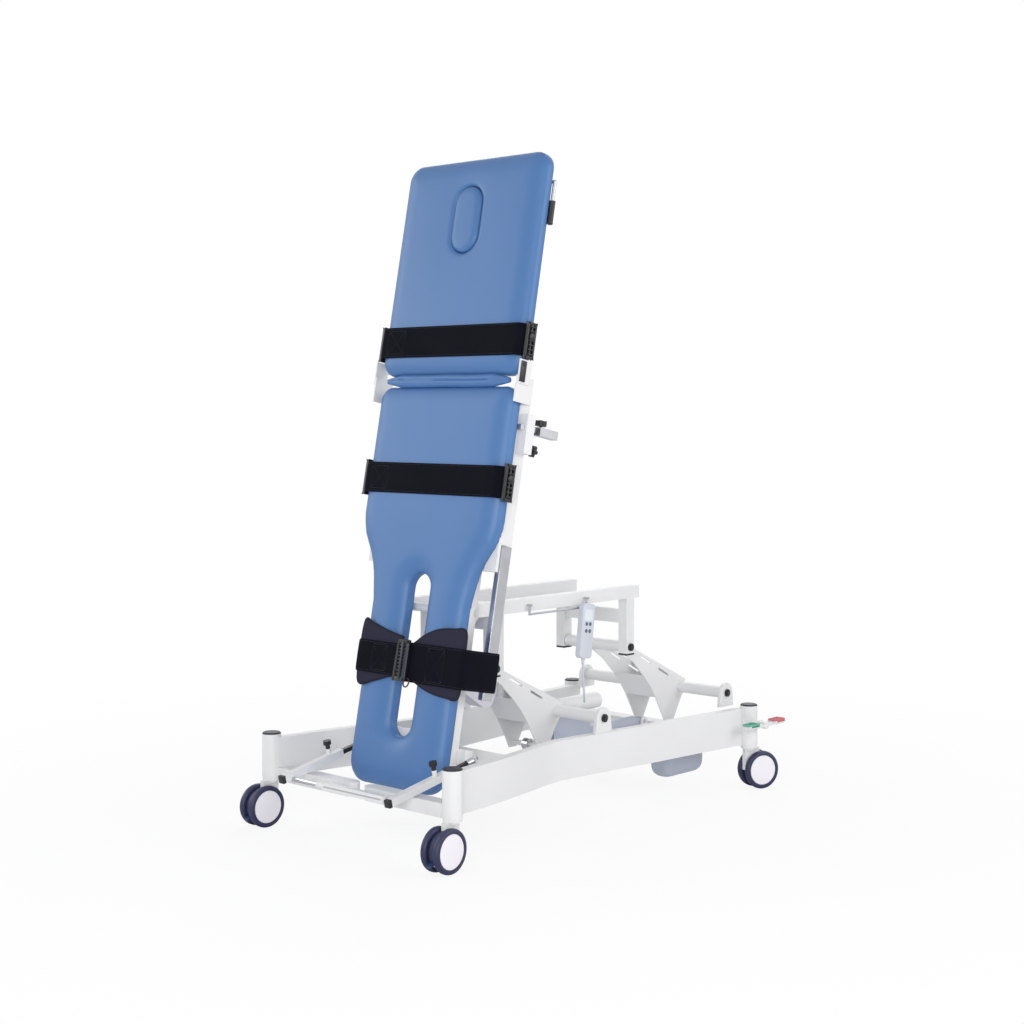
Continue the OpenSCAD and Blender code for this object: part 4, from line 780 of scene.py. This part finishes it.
def buckles(title, low, high, half, body):
    """A strap's two side buckles: each a slotted frame with three bars, a ribbed latch and a round rivet."""
    for side, hand in ((-1, "near"), (1, "far")):
        name = "%s_buckle_%s" % (title, hand)
        lo, hi = sorted((side * (half + BUCKLE_Y[0]), side * (half + BUCKLE_Y[1])))
        parts = [block(TABLE, (BUCKLE_N[0], lo, u), (BUCKLE_N[1], hi, u + BUCKLE_END))
                 for u in (low, high - BUCKLE_END)]
        for back, front, inset in BUCKLE_BARS:
            parts.append(block(TABLE, (back, lo, low + inset), (front, hi, high - inset)))
        for k in range(LATCH_RIBS):
            u = low + LATCH_END + k * (high - low - 2 * LATCH_END) / (LATCH_RIBS - 1)
            parts.append(block(TABLE, (LATCH_N[0], lo - (side < 0) * RIB_OUT, u - RIB_HALF),
                               (LATCH_N[1], hi + (side > 0) * RIB_OUT, u + RIB_HALF)))
        made = piece(name, *joined(*parts), BLACK, body, bevel=1.4, angle=40)
        if side < 0:
            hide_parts(title + "_buckles")
        rivet = turned(TABLE @ shift(RIVET_N, side * (half + BUCKLE_Y[1]), (low + high) / 2 + RIVET_UP),
                       [(TIP, 0), (11, 0), (11.5, side * 2), (10, side * 5), (5, side * 6.5),
                        (TIP, side * 6.8)])
        piece(name + "_rivet", *rivet, BLACK, body, angle=30)


buckles("chest", 1147, 1257, HEAD_HALF, "backrest")
buckles("pelvis", 723, 833, HIP_HALF, "table")

# The knee band's buckle: a frame, a middle bar and ribs behind it, with a ring at its lower corner
FRAME_N, FRAME_Y, FRAME_U, FRAME_BAR, FRAME_END = -15, (-34, 16), (170, 292), 9, 12
KNEE_RIBS, KNEE_RIB_FROM, KNEE_RIB_STEP, KNEE_RIB = 9, 188, 10.6, 4.2
centre_parts = [block(TABLE, (FRAME_N, FRAME_Y[0], u), (-6, FRAME_Y[1], u + FRAME_END))
                for u in (FRAME_U[0], FRAME_U[1] - FRAME_END)]
centre_parts += [block(TABLE, (FRAME_N, y, FRAME_U[0]), (-5, y + FRAME_BAR, FRAME_U[1]))
                 for y in (FRAME_Y[0], FRAME_Y[1] - FRAME_BAR)]
centre_parts.append(block(TABLE, (FRAME_N - 2, -14, FRAME_U[0] + 6), (-8, -14 + FRAME_BAR, FRAME_U[1] - 6)))
for k in range(KNEE_RIBS):
    u = KNEE_RIB_FROM + k * KNEE_RIB_STEP
    centre_parts.append(block(TABLE, (-13.5, -27, u), (-8, 9, u + KNEE_RIB)))
centre = piece("knee_buckle_frame", *joined(*centre_parts), BLACK, "table", bevel=1.2, angle=40)
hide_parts("knee_buckle")
ring_line = [TABLE @ Vector((-9 + 2 * math.sin(a), -38 + 11 * math.cos(a), 168 + 13 * math.sin(a)))
             for a in around(36, 1)]
piece("knee_ring", *tube(ring_line, 2.2, 10), BLACK, "table", angle=70)

# Casters: two tyres with pale hub discs. Profiles are radii, and depths below a tyre's inner or outer face.
WHEEL_R, PAIR, TYRE_W, TRAIL = 62.5, 66, 21, 36
TREAD = (((44, 0), (52, 0), (58, 1), (61.3, 3.5), (62.4, 7)),
         ((62.4, 7), (61.2, 3.2), (58, 0.8), (53, 0), (50, 0.6), (49, 3), (44, 4)))
HUB_DISC = (((TIP, 2), (48.8, 2)), ((48.8, 3.4), (47.6, 2), (40, 1.4), (20, 0.8), (TIP, 0.6)))
BOSS = (((TIP, 0.4), (20, 0.4), (20, 2.4), (TIP, 2.4)), ())
AXLE_R, AXLE_HALF = 6, 12.2


def both_wheels(axle, profile, steps, looped=False):
    """The two lathed skins of a caster's twin wheels."""
    skins = []
    for side in (-1, 1):
        inner, outer = side * (PAIR / 2 - TYRE_W), side * PAIR / 2
        line = [(r, inner + side * depth) for r, depth in profile[0]]
        line += [(r, outer - side * depth) for r, depth in profile[1]]
        skins.append(turned(axle, line, steps=steps, looped=looped))
    return skins


for name in CORNERS:
    body = "wheels_" + name
    axle = corner(name) @ shift(TRAIL, 0, WHEEL_R)
    tyre = piece("tyres_" + name, *joined(*both_wheels(axle, TREAD, 64, True)), TYRE, body, angle=50)
    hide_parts("caster_wheels_" + name)
    hubs = joined(*both_wheels(axle, HUB_DISC, 64))
    piece("hub_discs_" + name, *hubs, HUB, body, angle=28)
    bosses = joined(*both_wheels(axle, BOSS, 32), turned(axle, pin(AXLE_R, -AXLE_HALF, AXLE_HALF), steps=20))
    piece("hub_bosses_" + name, *bosses, TYRE, body, angle=28)

# Mudguard of each caster: a navy shroud over the gap between the tyres
SHROUD_R, SHROUD_INNER, SHROUD_HALF = 52, 30, 9.8
shroud_side = arc(0, 0, SHROUD_R, -28, 116, 18) + arc(0, 0, SHROUD_INNER, 110, -20, 13)
for name in CORNERS:
    hood = corner(name) @ shift(TRAIL, 0, WHEEL_R)
    sheets = [place(hood, [(x, y, z) for x, z in shroud_side]) for y in (-SHROUD_HALF, SHROUD_HALF)]
    shroud = piece("caster_shroud_" + name, *closed_rings(sheets), TYRE, "caster_" + name,
                   bevel=1.5, angle=40)


# Handset: a casing with a seam round it and rounded faces, as (depth, inset) steps, with a hook behind it
HALF_W, HALF_T, HALF_L, CASING_ROUND = 29, 11, 86, 12
CASING = ((-HALF_T, 3.4), (-10.3, 1.3), (-8.6, 0.2), (-7.5, 0), (-1, 0), (-0.8, 0.7), (-0.2, 0.7), (0, 0),
          (8, 0.2), (10, 1.4), (HALF_T, 3.6))
DISPLAY_W, DISPLAY_H, DISPLAY_UP = 20, 17, 50
KEY_GAP_X, KEY_GAP_Z, KEY_TOP, KEYS = 17, 22, 22, 4


def rounded_rectangle(w, h, r, steps=8):
    """The outline of a rounded rectangle from half its width, half its height and its corner radius."""
    return mirrored(arc(w - r, -h + r, r, -90, 0, steps) + arc(w - r, h - r, r, 0, 90, steps))


shell_rings = []
for depth, inset in CASING:
    outline = rounded_rectangle(HALF_W - inset, HALF_L - inset, CASING_ROUND - inset)
    shell_rings.append(place(HANDSET, [(x, depth, z) for x, z in outline]))
casing = piece("handset_casing", *closed_rings(shell_rings), KEYPAD, "hand_control", angle=32)
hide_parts("handset")
HOOK_X, HOOK_TOP = (787, 799), 641.4
hook_parts = []
for y0, y1, z0, z1 in ((-176, -172, 636, HOOK_TOP), (-174, -155.8, 638, HOOK_TOP), (-174, -170, 606, 640)):
    hook_parts.append(block(ROOM, (HOOK_X[0], y0, z0), (HOOK_X[1], y1, z1)))
piece("handset_hook", *joined(*hook_parts), KEYPAD, "hand_control", bevel=0.8)
glass = []
for depth, inset in ((-10.6, 0), (-11.3, 0), (-11.5, 0.6)):
    outline = rounded_rectangle(DISPLAY_W - inset, DISPLAY_H - inset, 3)
    glass.append(place(HANDSET, [(x, depth, z + DISPLAY_UP) for x, z in outline]))
piece("handset_display", *closed_rings(glass), DISPLAY, "hand_control", angle=30)
marks = []
for i in range(KEYS):
    key = HANDSET @ shift((i % 2 - 0.5) * KEY_GAP_X, -HALF_T, KEY_TOP - (i // 2) * KEY_GAP_Z)
    dished = turned(key, [(TIP, 1.2), (4.4, 1.2), (4.4, -0.5), (4.1, -0.95), (3.2, -1.1), (TIP, -0.85)])
    cap = piece("handset_key_%d" % (i + 1), *dished, MARK, "key_%d" % (i + 1))
    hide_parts("handset_button_%d" % (i + 1))
    marks.append(turned(key, [(5.4, -0.05), (6.3, -0.05), (6.3, -0.4), (5.4, -0.4)]))
piece("handset_marks", *joined(*marks), MARK, "hand_control", angle=30)
relief = turned(HANDSET @ shift(0, 0, -HALF_L),
                [(TIP, 0), (6.4, 0), (6.2, -5), (5.4, -6), (5.6, -7), (4.8, -12), (4.9, -13), (4.4, -19),
                 (3.6, -21), (TIP, -21)], "Z", 24)
piece("handset_strain_relief", *relief, CORD, "hand_control", angle=40)

# Cord from the handset down into the base
ROUTE = [(789, -184, 477), (789, -184, 462), (790, -183, 440), (794, -180, 415), (801, -175, 390),
         (811, -168, 368), (822, -160, 350), (834, -150, 336), (848, -138, 328),
         (862, -126, 324), (874, -116, 322)]
curve = bpy.data.curves.new("handset_lead", "CURVE")
curve.dimensions = "3D"
curve.bevel_depth = 0.0035
curve.bevel_resolution = 5
curve.use_fill_caps = True
spline = curve.splines.new("POLY")
fine = smooth_line([ROOM @ Vector(p) for p in ROUTE], 4)
spline.points.add(len(fine) - 1)
for point, place_of in zip(spline.points, fine):
    point.co = (*place_of, 1)
lead = bpy.data.objects.new("handset_lead", curve)
scene.collection.objects.link(lead)
curve.materials.append(CORD)
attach(lead, "upper")
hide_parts("handset_cord")


# CAD nodes that keep their own shape, by finish and bevel
for finish, bevel, names in (
        (POWDER, 1.4, ("near_rail", "far_rail")),
        (POWDER, 1.2, ("base_beams", "upper_frame", "leg_frame", "back_frame")),
        (POWDER, 1.0, ("pivot_ears", "foot_carriage", *("caster_fork_" + name for name in CORNERS))),
        (POWDER, 0.9, ("front_lift_arm", "rear_lift_arm")),
        (POWDER, 0.8, ("floor_tray", "brake_pedal")),
        (CREAM, 1.6, ("clamp_block",)),
        (CREAM, 1.4, ("lift_motor",)),
        (BOXING, 1.6, ("lift_housing",)),
        (LILAC, 1.6, ("tilt_housing",)),
        (ZINC, 1.2, ("clamp_arm",)),
        (ZINC, 0.5, ("release_handle",)),
        (STEEL, 1.2, ("steel_rails",)),
        (CHROME, 0.5, ("lift_rod", "tilt_rod")),
        (CHROME, 0.4, ("gas_spring_rod", "handset_rod")),
        (CAP, 0.9, ("post_caps",)),
        (BLACK, 1.2, ("star_knob", "lower_knob")),
        (BLACK, 0.8, ("plunger_near", "plunger_far")),
        (BLACK, 0.6, ("lower_bolts", "upper_bolts")),
        (BLACK, 0.5, ("gas_spring_tube",)),
        (LEVER, 1.2, ("caster_lock_near_front", "caster_lock_far_front"))):
    for name in names:
        finish_node(name, finish, bevel)

# Black grip on the hanging end of the release handle
GRIP_LONG = 72
grip_low, grip_high = local_box("release_handle", TABLE, lambda p: p.y < -HEAD_HALF + 6)
grip_at = TABLE @ shift((grip_low.x + grip_high.x) / 2, (grip_low.y + grip_high.y) / 2, grip_low.z)
grip = turned(grip_at, [(TIP, -1.2), (7.4, -1.2), (9.6, 0.6), (10, 3), (9.4, 8), (9.4, GRIP_LONG - 6),
                        (10, GRIP_LONG - 2), (8, GRIP_LONG), (6.2, GRIP_LONG)], "Z")
piece("release_grip", *grip, BLACK, "handle", angle=40)

# Black collar on the clamp's bar, where its white arm begins
ARM_LONG, COLLAR_LONG, COLLAR_HALF = 80, 17, 10
collar_low, collar_high = local_box("clamp_arm", TABLE)
collar_mid = (collar_low + collar_high) / 2
arm_from = collar_high.x - ARM_LONG
collar = block(TABLE, (arm_from - COLLAR_LONG, collar_mid.y - COLLAR_HALF, collar_mid.z - COLLAR_HALF),
               (arm_from - 0.2, collar_mid.y + COLLAR_HALF, collar_mid.z + COLLAR_HALF))
piece("clamp_collar", *collar, BLACK, "clamp", bevel=1.6)

# Foot frame: black caps on the front ends of its arms, and a bright end with a ring on the near arm
ARM_Y, CAP_HALF, CAP_FROM, CAP_TO = 228, 11.8, -4, 7
caps = joined(*[block(FOOT, (CAP_FROM, y - CAP_HALF, -CAP_HALF), (CAP_TO, y + CAP_HALF, CAP_HALF))
                for y in (-ARM_Y, ARM_Y)])
piece("foot_arm_caps", *caps, BLACK, "foot_support", bevel=2.0)
bar_end = turned(FOOT @ shift(0, -ARM_Y, 0) @ turn(-90, "Z"),
                 [(TIP, 316), (9.4, 316), (10.4, 317.5), (10.4, 340), (7, 344), (5, 352), (TIP, 353)])
end_line = [FOOT @ Vector((354 + 9 * math.cos(a), -ARM_Y, 9 * math.sin(a))) for a in around(32, 1)]
piece("foot_bar_tip", *joined(bar_end, tube(end_line, 2.2, 10)), CHROME, "table", angle=40)

# Cross channel of the foot frame: a dark slot along its front and a bright slide rod at each end
CROSS_X, CROSS_Z, CHANNEL_FAR, CHANNEL_NEAR, CHANNEL_HALF = -57, 171, 81, -178, 9
SLOT_INSET, SLOT_TALL, SLOT_DEEP, ROD_R = 8, 2.2, 0.5, 7.2
channel_face = CROSS_X - CHANNEL_HALF
slot_strip = block(ROOM, (channel_face - SLOT_DEEP, CHANNEL_NEAR + SLOT_INSET, CROSS_Z - SLOT_TALL),
                   (channel_face + SLOT_DEEP, CHANNEL_FAR - SLOT_INSET, CROSS_Z + SLOT_TALL))
piece("cross_slide_slot", *slot_strip, ZINC, "foot_support")
rods = joined(*[turned(ROOM @ shift(CROSS_X, 0, CROSS_Z), pin(ROD_R, low, high))
                for low, high in ((CHANNEL_FAR + 3, ARM_Y), (-212, CHANNEL_NEAR - 3))])
piece("cross_slide_rods", *rods, CHROME, "foot_support", angle=30)

# Brake pedal pads
PEDAL_X, PEDAL_Y, PEDAL_Z, PEDAL_HALF = 1425, -431, 221, 73
PEDAL_W, PEDAL_H, PEDAL_ROUND, RIDGE_W, RIDGE_H = 28, 18, 6, 1.4, 13
for side, finish, title in ((-1, GREEN, "release"), (1, RED, "brake")):
    spot = ROOM @ shift(PEDAL_X + side * PEDAL_HALF, PEDAL_Y, PEDAL_Z)
    pad = []
    for z, inset in ((-6, 0), (2, 0), (3.4, 0.5), (4, 1.6)):
        outline = rounded_rectangle(PEDAL_W - inset, PEDAL_H - inset, PEDAL_ROUND)
        pad.append(place(spot, [(x, y, z) for x, y in outline]))
    ribs = [block(spot, (x - RIDGE_W, -RIDGE_H, 3.6), (x + RIDGE_W, RIDGE_H, 5)) for x in range(-18, 19, 9)]
    pedal = piece("pedal_pad_" + title, *joined(closed_rings(pad), *ribs), finish, "pedal", angle=30)

# Dark bars inside the foot arms with the gold marks of their length scale, and their white brackets
BAR_FROM, BAR_TO, BAR_HALF = 110, 340, 7
bars = joined(*[block(FOOT, (BAR_FROM, y - BAR_HALF, -BAR_HALF), (BAR_TO, y + BAR_HALF, BAR_HALF))
                for y in (-ARM_Y, ARM_Y)])
bar_piece = piece("foot_scale_bars", *bars, SCALE, "table", bevel=0.8)
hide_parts("foot_bars")
BRACKET_N, BRACKET_Y, BRACKET_U = (91.4, 123.4), ((-221, -158), (158, 221)), (-45, -0.2)
brackets = joined(*[block(TABLE, (BRACKET_N[0], low, BRACKET_U[0]), (BRACKET_N[1], high, BRACKET_U[1]))
                    for low, high in BRACKET_Y])
piece("foot_bar_brackets", *brackets, POWDER, "table", bevel=1.6)
TICKS, TICK_STEP, TICK_LONG, TICK_SHORT = 20, 10, 5.2, 3.2
ticks = []
for y in (-ARM_Y, ARM_Y):
    for k in range(TICKS):
        x = BAR_FROM + 6 + k * TICK_STEP
        wide = TICK_LONG if k % 5 == 0 else TICK_SHORT
        ticks.append(block(FOOT, (x, y - wide, BAR_HALF - 0.1), (x + 1.1, y + wide, BAR_HALF + 0.25)))
piece("foot_bar_scale", *joined(*ticks), GOLD, "table")

# Black strips on the outer faces of the backrest's own hinge plates, with a screw head at each end
HINGE_FACE, STRIP_T, STRIP_N, STRIP_U, SCREW_INSET = 310.9, 3.2, (13, 35), (1076, 1138), 10
for side in (-1, 1):
    lo, hi = sorted((side * HINGE_FACE, side * (HINGE_FACE + STRIP_T)))
    strip_parts = [block(TABLE, (STRIP_N[0], lo, STRIP_U[0]), (STRIP_N[1], hi, STRIP_U[1]))]
    for u in (STRIP_U[0] + SCREW_INSET, STRIP_U[1] - SCREW_INSET):
        screw = TABLE @ shift((STRIP_N[0] + STRIP_N[1]) / 2, side * (HINGE_FACE + STRIP_T), u)
        head_line = [(TIP, 0), (5, 0), (5, side * 1.2), (4, side * 2.2), (TIP, side * 2.4)]
        strip_parts.append(turned(screw, head_line, steps=24))
    title = "near" if side < 0 else "far"
    hinge = piece("hinge_strip_" + title, *joined(*strip_parts), BLACK, "backrest", bevel=0.8)

# Control box: a moulded casing with rounded sides and domed ends
BOX_STEPS, BOX_ROUND, END_ROUND, SQUARENESS = 28, 40, 46, 2.7
box_low, box_high = local_box("control_box", ROOM)
box_mid, box_half = (box_low + box_high) / 2, (box_high - box_low) / 2
box_rings = []
for k in range(BOX_STEPS + 1):
    along = -math.cos(math.pi * k / BOX_STEPS)
    from_end = min(1.0, box_half.x * (1 - abs(along)) / END_ROUND)
    share = max(0.05, (1 - (1 - from_end) ** SQUARENESS) ** (1 / SQUARENESS))
    ring = []
    for a in around(BOX_ROUND):
        c, d = math.cos(a), math.sin(a)
        wide = math.copysign(abs(c) ** (2 / SQUARENESS), c)
        tall = math.copysign(abs(d) ** (2 / SQUARENESS), d)
        ring.append((box_mid.x + box_half.x * along, box_mid.y + box_half.y * share * wide,
                     box_high.z - box_half.z + box_half.z * (share if d < 0 else 1) * tall))
    box_rings.append(place(ROOM, ring))
moulded = piece("control_box_casing", *closed_rings(box_rings), BOXING, "base", angle=50)
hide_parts("control_box")


# Lighting and floor
def area_lamp(name, place_of, aim, size, power):
    """A rectangular lamp turned to a point."""
    lamp = bpy.data.lights.new(name, "AREA")
    lamp.shape = "RECTANGLE"
    lamp.size, lamp.size_y = size
    lamp.energy = power
    made = bpy.data.objects.new(name, lamp)
    made.location = place_of
    made.rotation_euler = (Vector(aim) - Vector(place_of)).to_track_quat("-Z", "Y").to_euler()
    scene.collection.objects.link(made)


area_lamp("key", (-3.9, -2.6, 1.5), (-0.3, 0, 0.6), (2.6, 2.0), 88)
area_lamp("side", (1.6, -4.6, 2.4), (0, 0, 0.6), (3.5, 2.6), 84)
area_lamp("rear", (3.4, 2.8, 3.8), (0, 0, 0.7), (3.0, 3.0), 85)
area_lamp("left", (-2.6, 4.2, 2.6), (0, 0, 0.8), (3.0, 2.6), 60)

# The sky lights the object softly and is seen as white
SKY_LIGHT = 0.42
world = bpy.data.worlds.new("studio")
scene.world = world
world.use_nodes = True
sky = Tree(world.node_tree)
sky.nodes.clear()
lit = sky.add("Background", {"Color": WHITE, "Strength": SKY_LIGHT})
seen = sky.add("Background", {"Color": WHITE, "Strength": 1.0})
rays = sky.add("LightPath").outputs
either = sky.calc("MAXIMUM", rays["Is Camera Ray"], rays["Is Glossy Ray"])
any_of = sky.calc("MAXIMUM", either, rays["Is Transmission Ray"])
blend_sky = sky.add("MixShader", {0: any_of, 1: lit.outputs[0], 2: seen.outputs[0]})
sky.add("OutputWorld", {"Surface": blend_sky.outputs[0]})

# The floor takes the object's shadow and fades to white away from it
FLOOR_HALF, FADE_FROM, FADE_TO, FADE_LEAST = 30, 1.0, 3.0, 0.87
paper = bpy.data.materials.new("pale_floor")
paper.use_nodes = True
sheet = Tree(paper.node_tree)
sheet.nodes.clear()
matte = sheet.add("BsdfDiffuse", {"Color": (0.94, 0.94, 0.945, 1)})
bright = sheet.add("Emission", {"Color": WHITE, "Strength": 1.0})
ray = sheet.add("LightPath")
where = sheet.add("TexCoord")
reach = sheet.add("VectorMath", {0: where.outputs["Object"]}, operation="LENGTH")
fade = sheet.add("MapRange", {"Value": reach.outputs["Value"], "From Min": FADE_FROM, "From Max": FADE_TO,
                              "To Min": FADE_LEAST, "To Max": 1.0})
share = sheet.calc("MULTIPLY", ray.outputs["Is Camera Ray"], fade.outputs[0])
floor_mix = sheet.add("MixShader", {0: share, 1: matte.outputs[0], 2: bright.outputs[0]})
sheet.add("OutputMaterial", {"Surface": floor_mix.outputs[0]})
ground = bpy.data.meshes.new("floor")
ground.from_pydata([(x, y, 0) for x, y in ((-FLOOR_HALF, -FLOOR_HALF), (FLOOR_HALF, -FLOOR_HALF),
                                           (FLOOR_HALF, FLOOR_HALF), (-FLOOR_HALF, FLOOR_HALF))],
                   [], [(0, 1, 2, 3)])
floor = bpy.data.objects.new("floor", ground)
scene.collection.objects.link(floor)
ground.materials.append(paper)
